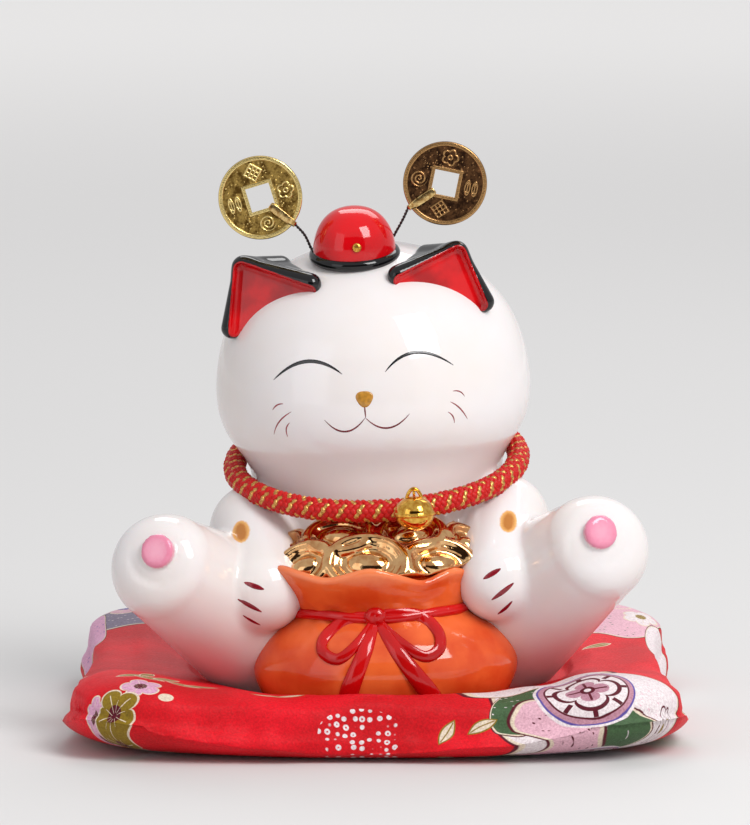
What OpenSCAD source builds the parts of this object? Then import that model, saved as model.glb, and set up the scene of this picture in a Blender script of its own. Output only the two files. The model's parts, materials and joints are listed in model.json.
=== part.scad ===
// Ceramic lucky-cat figurine with a money bag, a braided collar with a bell,
// two coins on springy wires and a square floral cushion.
// +Z is up, the cat faces -Y, and the origin is the middle of the cushion's underside.

/* [Cushion] */
// Width of the cushion from side to side
cushion_w = 180; // [170:1:190]
// Depth of the cushion from front to back
cushion_d = 168; // [160:1:180]
// Height of the cushion at its corners
cushion_h = 25; // [22:1:28]
// Thickness of the cushion's cloth
cloth_t = 1.2; // [0.8:0.1:2]

/* [Pose of the cat] */
// Height of the pressed hollow that the cat sits in
seat_z = 9; // [8:0.5:10]
// Sideways place of the cat on its cushion
cat_x = 3.3; // [0:0.1:5]
// Sideways lean of the whole cat in degrees
lean = 2.5; // [0:0.5:4]

/* [Ceramic] */
// Wall of the slip-cast shells
wall = 3.5; // [3:0.5:4.5]
// Half width of the head
head_rx = 44.7; // [42:0.1:46]
// Half depth of the head
head_ry = 40; // [38:0.5:42]
// Half height of the head
head_rz = 35.5; // [34:0.5:37]
// Height of the head's middle over the cat's base
head_z = 93.5; // [92:0.5:95]
// Largest radius of the torso
torso_r = 47; // [45:0.5:48]
// Height of the neck joint
neck_z = 62; // [61.5:0.1:62.5]
// Width of the coin slot in the back
slot_w = 3.6; // [3:0.1:3.8]
// Radius of the hole for the stopper in the base
stopper_r = 13; // [12:0.5:14]

/* [Hat] */
// Radius of the hat's crown
hat_r = 12.2; // [11:0.1:13]
// Forward tilt of the hat in degrees
hat_tilt = 12; // [8:1:16]

/* [Collar and bell] */
// Thickness of the braided cord
cord_d = 6.4; // [6:0.1:7]
// Half width of the bell
bell_r = 5.6; // [5.4:0.1:5.8]
// Wall of the bell's halves
bell_t = 0.5; // [0.4:0.05:0.6]

/* [Coins] */
// Diameter of a coin
coin_d = 24; // [23:0.5:25]
// Thickness of a coin over its rims
coin_t = 1.6; // [1.4:0.1:1.8]
// Side of the square hole
coin_hole = 7; // [6:0.1:7.5]
// Thickness of the springy wire
wire_d = 0.9; // [0.8:0.1:1]

/* [Hidden] */
gap = 0.3;
$fn = 64;

glaze = "white";
red = "crimson";
orange = "darkorange";
gold = "gold";

// Fractions of the way out at which the cushion's rings lie, from the seam inwards
ring_f = [1, 0.985, 0.95, 0.9, 0.82, 0.74, 0.67, 0.6, 0.53, 0.42, 0.25];
sectors = 56;
edge_f = 0.88;
corner_power = 6;
corner_reach = 104;
seam_z = 8;
dish_y = -5;
seat_r = 53.5;
bag_x = 0;
bag_y = -34;
bag_squash = 0.8;
bag_press_r = 38.2;

torso_y = 3;
// Torso outline as [radius, height] pairs, from the base up to the neck
torso_outline = [[43, 0], [46, 3], [torso_r, 10], [torso_r, 20], [46, 32], [43.5, 42],
    [39, 50], [33.5, 56], [27, neck_z]];
torso_inner = [[39, wall], [42, 6], [43.3, 11], [43.3, 20], [42.3, 31], [39.7, 40.5],
    [35, 48], [29, 53.5], [20, 57.5]];
neck_hole_r = 12;

// Leg outline along its own axis, as [radius, distance from the sole]
leg_outline = [[0, 0], [9, 0.4], [12.4, 2], [14.3, 6], [15, 12], [15.8, 22], [18, 36],
    [20, 48], [17, 58], [0, 62]];
leg_inner = [[0, wall], [9, 4.2], [10.8, 7], [11.5, 13], [12.3, 22], [14.5, 36], [16.4, 48],
    [13.5, 55], [0, 58]];
paw = [61.5, -58, 44.5];
hip = [27, -6, 19];

arm_shoulder = [36, -13, 47];
arm_hand = [34, -36, 37];
arm_shoulder_r = 13.5;
arm_hand_r = 12;

ear_root_out = [38.5, -13, 106];
ear_root_in = [14.5, -22, 121.5];
ear_tip = [32.5, -14, 128];
ear_back = [24, -4, 122];
ear_round = 1.6;
ear_shift = -2.5;

hat_at = [-3.3, -12, 127];
brim_r = 1.8;
brim_at_r = hat_r - 0.6;

bag_outline = [[0, 0], [28, 0], [34, 3], [37.4, 9], [37.6, 15], [34, 22], [28, 26.5],
    [26.5, 28.5], [27.5, 31], [30.5, 36], [31.5, 39], [29.5, 39.4], [0, 36]];
bag_inner = [[0, wall], [27, wall], [31, 5.5], [33.6, 9.5], [33.8, 14.5], [31, 19.5],
    [24, 24], [0, 25]];
ribbon_z = 28.3;
heap_at = [0, -31, 37];

cord_rx = 41;
cord_front_y = -44;
cord_back_y = 41;
cord_front_z = 56.9;
cord_rise = 17;
cord_rings = 64;
cord_sides = 10;

bell_at = [10.4, -52.9, 57.1];
bell_squash = 0.88;
eye_r = 0.95;
eye_wire = 0.7;
eye_lift = 5.7;
pellet_r = 1.4;
pellet_rest = -2.9;

left_base = [-16.1, -9, 128.8];
left_end = [-20, -13, 135.9];
left_coin_at = [-29.8, -13, 144.3];
left_turn = -14.5;
right_base = [7.9, -9, 131.4];
right_end = [12.15, -13, 139.3];
right_coin_at = [23.1, -13, 146.1];
right_turn = 14;

// Angles that turn +Z along the way from a to b
function along(a, b) = let (v = b - a) [0, acos(v.z / norm(v)), atan2(v.y, v.x)];
function flip(p) = [-p.x, p.y, p.z];

// Everything of the cat is drawn upright and then leant and set down here
module on_seat() {
    translate([cat_x, 0, seat_z + gap]) rotate([0, -lean, 0]) children();
}

// A rounded bar from a to b
module limb(a, b, ra, rb, facets = 24) {
    translate(a) sphere(r = ra, $fn = facets);
    translate(b) sphere(r = rb, $fn = facets);
    translate(a) rotate(along(a, b)) cylinder(h = norm(b - a), r1 = ra, r2 = rb, $fn = facets);
}

// ---- cushion ----

// Outline of the cushion seen from above: a square with soft corners
function plan_r(t) = pow(pow(abs(cos(t)) / (cushion_w / 2), corner_power)
    + pow(abs(sin(t)) / (cushion_d / 2), corner_power), -1 / corner_power);

// Height of the pressed hollow, which slopes as the cat leans
function seat_at(x) = seat_z + (x - cat_x) * tan(lean);

// Height of the top: pressed flat under the cat and the bag, rising to the corners
function top_z(x, y) = let (
    past = min(norm([x - cat_x, y - torso_y]) - seat_r, norm([x - cat_x, y - bag_y]) - bag_press_r),
    rise = (cushion_h - seat_z) * pow(norm([x, y - dish_y]) / corner_reach, 2))
    past < 0 ? seat_at(x) : min(seat_at(x) + 1.2 * past, max(seat_at(x), seat_z + rise));

function roll(f) = sqrt(1 - pow(max(0, (f - edge_f) / (1 - edge_f)), 2));

// One ring of points of the cushion, f of the way out, inset under the surface
function ring(f, inset, upper) = [for (i = [0:sectors - 1]) let (
    t = i * 360 / sectors,
    r = (plan_r(t) - inset) * f,
    x = r * cos(t),
    y = r * sin(t),
    z = upper ? seam_z + (top_z(x, y) - inset - seam_z) * roll(f)
        : seam_z - (seam_z - inset) * roll(f))
    [x, y, z]];

function fan(centre, first, turn) = [for (i = [0:sectors - 1]) let (n = (i + 1) % sectors)
    turn ? [centre, first + n, first + i] : [centre, first + i, first + n]];
function band(a, b) = [for (i = [0:sectors - 1]) let (n = (i + 1) % sectors)
    each [[a + i, b + i, b + n], [a + i, b + n, a + n]]];

// A closed solid over stacked rings, from the first centre point to the last
module stacked(rings, low, high) {
    n = len(rings);
    points = concat([for (r = rings) each r], [low, high]);
    faces = concat(fan(n * sectors, 0, false),
        [for (k = [0:n - 2]) each band(k * sectors, (k + 1) * sectors)],
        fan(n * sectors + 1, (n - 1) * sectors, true));
    polyhedron(points = points, faces = faces, convexity = 6);
}

// One cover panel: lining from the middle out to the seam, then its outer face back in
module cushion_top() {
    lining = [for (k = [len(ring_f) - 1:-1:0]) ring(ring_f[k], cloth_t, true)];
    skin = [for (f = ring_f) ring(f, 0, true)];
    color(red) stacked(concat(lining, skin), [0, 0, seat_z - cloth_t], [0, 0, seat_z]);
}

module cushion_bottom() {
    skin = [for (k = [len(ring_f) - 1:-1:0]) ring(ring_f[k], 0, false)];
    lining = [for (f = ring_f) ring(f, cloth_t, false)];
    color(red) stacked(concat(skin, lining), [0, 0, 0], [0, 0, cloth_t]);
}

module cushion_filling() {
    thick = cloth_t + gap;
    lower = [for (k = [len(ring_f) - 1:-1:0]) ring(ring_f[k], thick, false)];
    upper = [for (k = [1:len(ring_f) - 1]) ring(ring_f[k], thick, true)];
    color("ivory") stacked(concat(lower, upper), [0, 0, thick], [0, 0, seat_z - thick]);
}

// The slice of its children between two heights
module slice(z0, z1) {
    intersection() {
        children();
        translate([-100, -100, z0]) cube([200, 200, z1 - z0]);
    }
}

// ---- ceramic castings, luted together before firing ----

module head_solid(inset) {
    translate([0, 0, head_z])
        scale([head_rx - inset, head_ry - inset, head_rz - inset]) sphere(r = 1, $fn = 96);
}

module torso_solid() {
    translate([0, torso_y, 0])
        rotate_extrude($fn = 96) polygon(concat([[0, 0]], torso_outline, [[0, neck_z]]));
}

module torso_shell() {
    color(glaze) on_seat() difference() {
        torso_solid();
        translate([0, torso_y, 0])
            rotate_extrude($fn = 96) polygon(concat([[0, wall]], torso_inner, [[0, 57.5]]));
        translate([0, torso_y, 50]) cylinder(h = 20, r = neck_hole_r);
        translate([0, torso_y, -1]) cylinder(h = wall + 2, r = stopper_r);
        // coin slot, upright in the middle of the back
        translate([-slot_w / 2, 30, 22]) cube([slot_w, 30, 28]);
    }
}

module head_shell() {
    color(glaze) on_seat() difference() {
        head_solid(0);
        head_solid(wall);
        translate([-60, -60, 0]) cube([120, 120, neck_z]);
        translate([0, torso_y, 50]) cylinder(h = 20, r = neck_hole_r);
    }
}

module leg(side) {
    p = side < 0 ? flip(paw) : paw;
    h = side < 0 ? flip(hip) : hip;
    difference() {
        translate(p) rotate(along(p, h)) difference() {
            rotate_extrude() polygon(leg_outline);
            rotate_extrude() polygon(leg_inner);
        }
        torso_solid();
        bag_solid();
        translate([-120, -120, -40]) cube([240, 240, 40]);
    }
}

module left_leg() { color(glaze) on_seat() leg(-1); }
module right_leg() { color(glaze) on_seat() leg(1); }

module arm_volume(side) {
    a = side < 0 ? flip(arm_shoulder) : arm_shoulder;
    b = side < 0 ? flip(arm_hand) : arm_hand;
    limb(a, b, arm_shoulder_r, arm_hand_r);
}

module arm(side) {
    difference() {
        arm_volume(side);
        torso_solid();
        bag_solid();
        leg_volume(side);
    }
}

module leg_volume(side) {
    p = side < 0 ? flip(paw) : paw;
    h = side < 0 ? flip(hip) : hip;
    translate(p) rotate(along(p, h)) rotate_extrude() polygon(leg_outline);
}

module left_arm() { color(glaze) on_seat() arm(-1); }
module right_arm() { color(glaze) on_seat() arm(1); }

module ear(side) {
    difference() {
        translate([ear_shift, 0, 0]) hull()
            for (p = [ear_root_out, ear_root_in, ear_tip, ear_back])
                translate([side * p.x, p.y, p.z]) sphere(r = ear_round, $fn = 20);
        head_solid(0);
    }
}

module left_ear() { color("black") on_seat() ear(-1); }
module right_ear() { color("black") on_seat() ear(1); }

module tail() {
    color(glaze) on_seat() difference() {
        translate([14, 43, 17]) sphere(r = 9);
        torso_solid();
    }
}

module base_stopper() {
    color("dimgray") on_seat() translate([0, torso_y, 0]) {
        cylinder(h = wall, r = stopper_r);
        translate([0, 0, wall]) cylinder(h = 1.5, r = stopper_r + 1.2);
    }
}

module at_hat() { translate(hat_at) rotate([hat_tilt, 0, 0]) children(); }

module hat_brim() {
    color("black") on_seat() difference() {
        at_hat() rotate_extrude() translate([brim_at_r, 0]) circle(r = brim_r, $fn = 32);
        head_solid(0);
        wire_hole(left_base, left_end);
    }
}

module hat_crown() {
    color(red) on_seat() difference() {
        at_hat() sphere(r = hat_r);
        at_hat() translate([0, 0, -2]) sphere(r = hat_r - 2.5);
        at_hat() rotate_extrude() translate([brim_at_r, 0]) circle(r = brim_r, $fn = 32);
        at_hat() translate([-20, -20, -20]) cube([40, 40, 20]);
        head_solid(0);
        wire_hole(left_base, left_end);
        wire_hole(right_base, right_end);
    }
}

// A clear hole that lets a wire sway where it leaves the hat
module wire_hole(a, b) {
    translate(a) rotate(along(a, b)) translate([0, 0, -1.2])
        cylinder(h = 6, r1 = wire_d / 2 + gap, r2 = wire_d / 2 + 2.2, $fn = 32);
}

module at_bag() { translate([bag_x, bag_y, 0]) scale([1, bag_squash, 1]) children(); }

module bag_solid() { at_bag() rotate_extrude() polygon(bag_outline); }

module money_bag() {
    color(orange) on_seat() difference() {
        bag_solid();
        at_bag() rotate_extrude() polygon(bag_inner);
        torso_solid();
    }
}

module bag_ribbon() {
    color(red) on_seat() difference() {
        at_bag() translate([0, 0, ribbon_z]) rotate_extrude()
            translate([26.4, 0]) scale([1.5, 1.7]) circle(r = 1, $fn = 32);
        bag_solid();
        torso_solid();
        for (side = [-1, 1]) {
            arm_volume(side);
            leg_volume(side);
        }
    }
}

module bow_loop(side) {
    translate([side * 7.2, -1.2, -5.6]) rotate([78, 0, side * 8]) rotate([0, 0, side * -35])
        scale([1.35, 1, 1]) rotate_extrude($fn = 32) translate([4.3, 0]) circle(r = 1.35, $fn = 16);
}

module bag_bow() {
    color(red) on_seat() translate([-0.5, -57.1, ribbon_z]) {
        sphere(r = 3, $fn = 24);
        bow_loop(-1);
        bow_loop(1);
        limb([0, 0, 0], [-8, -4.4, -20], 1.8, 1.8);
        limb([0, 0, 0], [14, -3.4, -19], 1.8, 1.8);
    }
}

// One oval nugget of the heap, lying tilted on its neighbours
module nugget(x, y, z, tip, roll) {
    translate([x, y, z]) rotate([tip, roll, 0]) scale([11, 8, 3.2]) sphere(r = 1, $fn = 30);
}

module gold_heap() {
    color(gold) on_seat() difference() {
        union() {
            translate(heap_at) scale([29, 22, 14.5]) sphere(r = 1, $fn = 40);
            nugget(-6, -47, 43.5, 35, -4);
            nugget(15, -46, 44, 35, 6);
            nugget(-22, -42, 43, 30, -16);
            nugget(3, -40, 49.5, 18, 2);
        }
        bag_solid();
        torso_solid();
        for (side = [-1, 1]) arm_volume(side);
    }
}

// ---- collar ----

// The collar is an oval loop that climbs from the chest to the nape
function cord_point(t) = let (
    y = (cord_front_y + cord_back_y) / 2 - cos(t) * (cord_back_y - cord_front_y) / 2)
    [cord_rx * sin(t), y, cord_front_z + cord_rise * (1 - cos(t)) / 2];
function ring_point(t, a, r) = let (
    out = [sin(t), -cos(t), 0],
    up = [0, 0, 1])
    cord_point(t) + r * (cos(a) * out + sin(a) * up);

module loop_tube(r, rings, sides) {
    points = [for (i = [0:rings - 1], j = [0:sides - 1])
        ring_point(i * 360 / rings, j * 360 / sides, r)];
    faces = [for (i = [0:rings - 1], j = [0:sides - 1]) let (
        n = (i + 1) % rings, k = (j + 1) % sides)
        [i * sides + j, i * sides + k, n * sides + k, n * sides + j]];
    polyhedron(points = points, faces = faces, convexity = 4);
}

module collar_cord() { color(red) on_seat() loop_tube(cord_d / 2, cord_rings, cord_sides); }

module collar_knot() {
    c = cord_point(180);
    color(red) on_seat() translate([0, c.y, c.z]) {
        sphere(r = 5, $fn = 32);
        limb([0, 2, 0], [-6, 7, -16], 2.2, 2.2);
        limb([0, 2, 0], [6, 7, -15], 2.2, 2.2);
    }
}

// A stitched wire staple; its straight front leg carries the bell's eye
module bell_hanger() {
    z = bell_at.z + eye_lift;
    color(gold) on_seat() translate([bell_at.x, bell_at.y, z]) {
        limb([0, -3.4, 0], [0, 3.6, 0], 0.45, 0.45, 16);
        limb([0, 3.6, 0], [0, 10.6, -4], 0.45, 0.45, 16);
        limb([0, -3.4, 0], [0, -3.4, 0.7], 0.45, 0.45, 16);
    }
}

// ---- bell ----

module bell_ball(r) { scale([1, 1, bell_squash]) sphere(r = r); }

module bell_shell() {
    difference() {
        bell_ball(bell_r);
        bell_ball(bell_r - bell_t);
        translate([-4, -0.45, -8]) cube([8, 0.9, 7]);
        translate([-4, 0, -8]) cylinder(h = 7, r = 1);
        translate([4, 0, -8]) cylinder(h = 7, r = 1);
    }
}

module at_bell() { on_seat() translate(bell_at) children(); }

module bell_upper() { color(gold) at_bell() slice(0, 20) bell_shell(); }
module bell_lower() { color(gold) at_bell() slice(-20, 0) bell_shell(); }

module bell_eye() {
    color(gold) at_bell() difference() {
        translate([0, 0, eye_lift]) rotate([90, 0, 0]) rotate_extrude()
            translate([eye_r + eye_wire / 2, 0]) circle(r = eye_wire / 2, $fn = 24);
        bell_ball(bell_r);
    }
}

module bell_pellet() { color("silver") at_bell() translate([0, 0, pellet_rest]) sphere(r = pellet_r); }

// ---- coins on wires ----

module wire(a, b) {
    c = (a + b) / 2 + [0.4, 0, 0.4];
    limb(a, c, wire_d / 2, wire_d / 2, 16);
    limb(c, b, wire_d / 2, wire_d / 2, 16);
}

// A mark made of three short bars, standing a little over the sunken field
module coin_mark() {
    for (i = [-1, 0, 1])
        translate([i * 1.5 - 0.35, 6 - abs(i) * 0.5, -coin_t / 2 + 0.1])
            cube([0.7, 2.6 - abs(i) * 0.6, coin_t - 0.2]);
}

module coin() {
    rim = 1.3;
    field = 0.3;
    rotate([90, 0, 0]) union() {
        difference() {
            cylinder(h = coin_t, d = coin_d, center = true);
            for (s = [-1, 1])
                translate([0, 0, s * (coin_t / 2 - field / 2 + 0.5)]) difference() {
                    cylinder(h = field + 1, d = coin_d - 2 * rim, center = true);
                    cube([coin_hole + 2 * rim, coin_hole + 2 * rim, field + 3], center = true);
                }
            cube([coin_hole, coin_hole, coin_t + 2], center = true);
        }
        for (a = [0:90:270]) rotate([0, 0, a]) coin_mark();
    }
}

module at_coin(c, turn) { on_seat() translate(c) rotate([0, turn, 0]) children(); }

// Folded strip over the rim at the hole's corner, crimped round the wire's end
module clip(c, turn, end) {
    reach = norm(c - end) * 0.73;
    difference() {
        translate(end) rotate(along(end, c)) translate([-1.3, -1.5, wire_d / 2 + 0.05]) cube([2.6, 3, reach]);
        translate(c) rotate([0, turn, 0]) rotate([90, 0, 0])
            cylinder(h = coin_t + 0.04, d = coin_d + 0.1, center = true);
    }
}

module left_wire() { color("dimgray") on_seat() wire(left_base, left_end); }
module right_wire() { color("dimgray") on_seat() wire(right_base, right_end); }
module left_clip() { color(gold) on_seat() clip(left_coin_at, left_turn, left_end); }
module right_clip() { color(gold) on_seat() clip(right_coin_at, right_turn, right_end); }
module left_coin() { color("goldenrod") at_coin(left_coin_at, left_turn) coin(); }
module right_coin() { color("darkgoldenrod") at_coin(right_coin_at, right_turn) coin(); }

cushion_top();
cushion_bottom();
cushion_filling();
torso_shell();
head_shell();
left_leg();
right_leg();
left_arm();
right_arm();
left_ear();
right_ear();
tail();
base_stopper();
hat_crown();
hat_brim();
money_bag();
bag_ribbon();
bag_bow();
gold_heap();
collar_cord();
collar_knot();
bell_hanger();
bell_upper();
bell_lower();
bell_eye();
bell_pellet();
left_wire();
right_wire();
left_clip();
right_clip();
left_coin();
right_coin();
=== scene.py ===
import json
import math
import random

import bpy
import numpy as np
from mathutils import Matrix, Vector


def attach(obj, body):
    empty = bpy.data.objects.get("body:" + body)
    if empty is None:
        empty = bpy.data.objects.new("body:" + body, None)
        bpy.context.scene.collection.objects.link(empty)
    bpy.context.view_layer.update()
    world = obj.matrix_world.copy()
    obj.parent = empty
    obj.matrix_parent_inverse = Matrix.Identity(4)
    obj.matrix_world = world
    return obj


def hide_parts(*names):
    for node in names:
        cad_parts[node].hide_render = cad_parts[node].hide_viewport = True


# %% [markdown]
# # A glazed ceramic cat on a floral cushion
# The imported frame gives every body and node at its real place, in metres. This lesson dresses
# that frame: each piece is a mesh made in code, placed where its node is, with its own finish.

# %% Load the frame
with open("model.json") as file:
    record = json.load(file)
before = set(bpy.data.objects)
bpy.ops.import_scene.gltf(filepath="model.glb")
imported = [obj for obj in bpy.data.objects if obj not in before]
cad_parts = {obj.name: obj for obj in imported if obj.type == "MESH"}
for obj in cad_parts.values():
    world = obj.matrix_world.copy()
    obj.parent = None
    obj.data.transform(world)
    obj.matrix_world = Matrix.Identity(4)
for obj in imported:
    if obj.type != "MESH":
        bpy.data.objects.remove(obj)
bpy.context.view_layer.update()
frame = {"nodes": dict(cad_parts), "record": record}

# %% [markdown]
# ## Where the cat sits
# The cat leans a little to one side on its cushion. Its nodding coins turn about an axis that
# leans with it, so the lean is read from that joint. All of the cat's pieces are made upright,
# in millimetres, and one matrix leans them and sets them down in the pressed hollow.

# %% The cat's own place
MM = 0.001
joints = {joint["name"]: joint for joint in frame["record"]["behaviour"]["joints"]}
nod_axis = joints["left_coin_nod"]["axis"]
LEAN = math.atan2(nod_axis[2], nod_axis[0])
SEAT = Vector((3.3, 0, 9.3)) * MM
CAT = Matrix.Translation(SEAT) @ Matrix.Rotation(-LEAN, 4, "Y")
WORLD = Matrix.Identity(4)
print("lean in degrees", round(math.degrees(LEAN), 2))

# %% [markdown]
# ## The camera
# A long lens from two metres off keeps the cat's proportions true. It looks along +Y and a
# little down, and aims at the middle of the picture.

# %% Camera
CAMERA_FAR = 2.1
CAMERA_UP = math.radians(7.5)
AIM = Vector((0.0, 0.0, 0.0885))
FIELD_WIDTH = 0.2165
SENSOR = 36
lens = bpy.data.cameras.new("camera")
lens.sensor_fit = "HORIZONTAL"
lens.sensor_width = SENSOR
lens.lens = SENSOR * CAMERA_FAR / FIELD_WIDTH
lens.clip_end = 50
camera = bpy.data.objects.new("camera", lens)
camera.location = AIM + CAMERA_FAR * Vector((0, -math.cos(CAMERA_UP), math.sin(CAMERA_UP)))
camera.rotation_euler = (math.pi / 2 - CAMERA_UP, 0, 0)
bpy.context.collection.objects.link(camera)
bpy.context.scene.camera = camera
print("lens", round(lens.lens), "mm")

# %% [markdown]
# ## Shader maths in plain expressions
# A finish is easier to read as arithmetic than as a web of nodes. One small class wraps a
# socket: on values each operator adds a Math node, on vectors and colours it adds Vector Math.

# %% Sockets that calculate
class Wire:
    """A socket of one material's node tree that can be calculated with."""

    def __init__(self, tree, socket):
        self.tree, self.socket = tree, socket

    def node(self, kind, out=0, settings=None, **inputs):
        made = self.tree.nodes.new(kind)
        for key, value in (settings or {}).items():
            if key == "stops":
                set_stops(made.color_ramp, value)
            else:
                setattr(made, key, value)
        for key, value in inputs.items():
            socket = made.inputs[int(key[1:])] if key[1:].isdigit() else made.inputs[key.replace("_", " ")]
            if isinstance(value, Wire):
                self.tree.links.new(value.socket, socket)
            else:
                socket.default_value = value
        return Wire(self.tree, made.outputs[out])

    @property
    def is_vector(self):
        return self.socket.type in ("VECTOR", "RGBA")

    def maths(self, operation, *values):
        sockets = {"i%d" % i: value for i, value in enumerate(values)}
        vectors = any(isinstance(value, Wire) and value.is_vector for value in values)
        if vectors:
            sockets = {key: value if isinstance(value, Wire) else spread(value)
                       for key, value in sockets.items()}
        kind = "ShaderNodeVectorMath" if vectors else "ShaderNodeMath"
        return self.node(kind, settings={"operation": operation}, **sockets)

    def __add__(self, other):
        return self.maths("ADD", self, other)

    def __radd__(self, other):
        return self.maths("ADD", other, self)

    def __sub__(self, other):
        return self.maths("SUBTRACT", self, other)

    def __rsub__(self, other):
        return self.maths("SUBTRACT", other, self)

    def __mul__(self, other):
        return self.maths("MULTIPLY", self, other)

    def __rmul__(self, other):
        return self.maths("MULTIPLY", other, self)

    def __truediv__(self, other):
        return self.maths("DIVIDE", self, other)

    def __abs__(self):
        return self.maths("ABSOLUTE", self)

    def sin(self):
        return self.maths("SINE", self)

    def cos(self):
        return self.maths("COSINE", self)

    def low(self, other):
        return self.maths("MINIMUM", self, other)

    def high(self, other):
        return self.maths("MAXIMUM", self, other)

    def power(self, other):
        return self.maths("POWER", self, other)

    def split(self):
        parts = self.tree.nodes.new("ShaderNodeSeparateXYZ")
        self.tree.links.new(self.socket, parts.inputs[0])
        return [Wire(self.tree, out) for out in parts.outputs]

    def length(self):
        return self.node("ShaderNodeVectorMath", 1, {"operation": "LENGTH"}, i0=self)

    def ease(self, start, end):
        """0 before start and 1 after end, smooth between them."""
        return self.node("ShaderNodeMapRange", settings={"interpolation_type": "SMOOTHSTEP"},
                         Value=self, From_Min=start, From_Max=end)

    def tint(self, low, high):
        """A colour from low to high as this value goes from 0 to 1."""
        return self.node("ShaderNodeMix", 2, {"data_type": "RGBA"}, i0=self, i6=low, i7=high)


def spread(value):
    return (value, value, value) if isinstance(value, (int, float)) else tuple(value)[:3]


def set_stops(ramp, stops):
    while len(ramp.elements) < len(stops):
        ramp.elements.new(1)
    for element, (place, colour) in zip(ramp.elements, stops):
        element.position, element.color = place, colour


class Finish:
    """A material with one Principled shader, whose sockets are set by name."""

    def __init__(self, name, **constants):
        self.material = bpy.data.materials.new(name)
        self.material.use_nodes = True
        self.tree = self.material.node_tree
        self.shader = self.tree.nodes["Principled BSDF"]
        self.start = Wire(self.tree, None)
        self.set(**constants)

    def set(self, **values):
        for key, value in values.items():
            socket = self.shader.inputs[key.replace("_", " ")]
            if isinstance(value, Wire):
                self.tree.links.new(value.socket, socket)
            else:
                socket.default_value = value

    def place(self):
        """Where a point is on its own piece, in millimetres."""
        return self.start.node("ShaderNodeTexCoord", 3) * (1 / MM)

    def stored(self, name):
        return self.start.node("ShaderNodeAttribute", 2, {"attribute_name": name})

    def stored_vector(self, name):
        return self.start.node("ShaderNodeAttribute", 1, {"attribute_name": name})

    def noise(self, where, scale, detail=2.0, rough=0.5):
        return self.start.node("ShaderNodeTexNoise", 0, Vector=where, Scale=scale, Detail=detail,
                               Roughness=rough)

    def bump(self, height, strength, distance):
        self.set(Normal=self.start.node("ShaderNodeBump", Height=height, Strength=strength,
                                        Distance=distance * MM))


def rgb(red, green, blue):
    """A linear colour from the display values that an eye would name."""
    def linear(value):
        value /= 255
        return value / 12.92 if value <= 0.04045 else ((value + 0.055) / 1.055) ** 2.4
    return (linear(red), linear(green), linear(blue), 1.0)


print("shader helpers ready")

# %% [markdown]
# ## Modelling by distance
# Ceramic is cast in a mould and fettled with a wet sponge, so its forms flow into each other.
# The easiest way to get that is to describe each form by its distance from any point, to blend
# the distances smoothly, and then to lay a skin of quads where the distance is zero.

# %% Distances of simple forms
def ball(p, centre, radii):
    """Distance from an ellipsoid, near enough for blending."""
    q = (p - np.float32(centre)) / np.float32(radii)
    outer = np.linalg.norm(q, axis=-1)
    inner = np.linalg.norm(q / np.float32(radii), axis=-1)
    return outer * (outer - 1) / np.maximum(inner, 1e-6)


def limb(p, a, b, radius_a, radius_b):
    """Distance from a round bar that goes from a to b and changes its radius."""
    a, b = np.float32(a), np.float32(b)
    along = np.clip((p - a) @ (b - a) / np.dot(b - a, b - a), 0, 1)
    away = np.linalg.norm(p - a - along[..., None] * (b - a), axis=-1)
    return away - radius_a - (radius_b - radius_a) * along


def join(a, b, soft):
    """The union of two forms with a fillet as wide as soft."""
    mix = np.clip(0.5 + 0.5 * (b - a) / soft, 0, 1)
    return b + (a - b) * mix - soft * mix * (1 - mix)


def cut(a, b, soft):
    """What is left of a when b is taken away, with a softened edge."""
    return -join(-a, b, soft)


def plane(p, point, normal):
    normal = np.float32(normal) / np.linalg.norm(normal)
    return (p - np.float32(point)) @ normal


def turned(p, centre, turn):
    """Points as seen from a form's own place, turned by a matrix."""
    return (p - np.float32(centre)) @ np.float32(turn)


print("forms ready")

# %% [markdown]
# The skin is found by surface nets: every cell of a grid that the surface crosses gets one
# point, and every grid edge that it crosses gets one quad. Three steps downhill then put each
# point exactly on the surface, so a glaze on it reflects cleanly.

# %% Surface nets
def slope(field, p, step=0.05):
    return np.stack([field(p + step * axis) - field(p - step * axis) for axis in np.eye(3)], -1) / (2 * step)


def settle(field, p, rounds=3):
    for _ in range(rounds):
        g = slope(field, p)
        p = p - (field(p) / np.maximum((g * g).sum(-1), 1e-6))[:, None] * g
    return p


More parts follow.
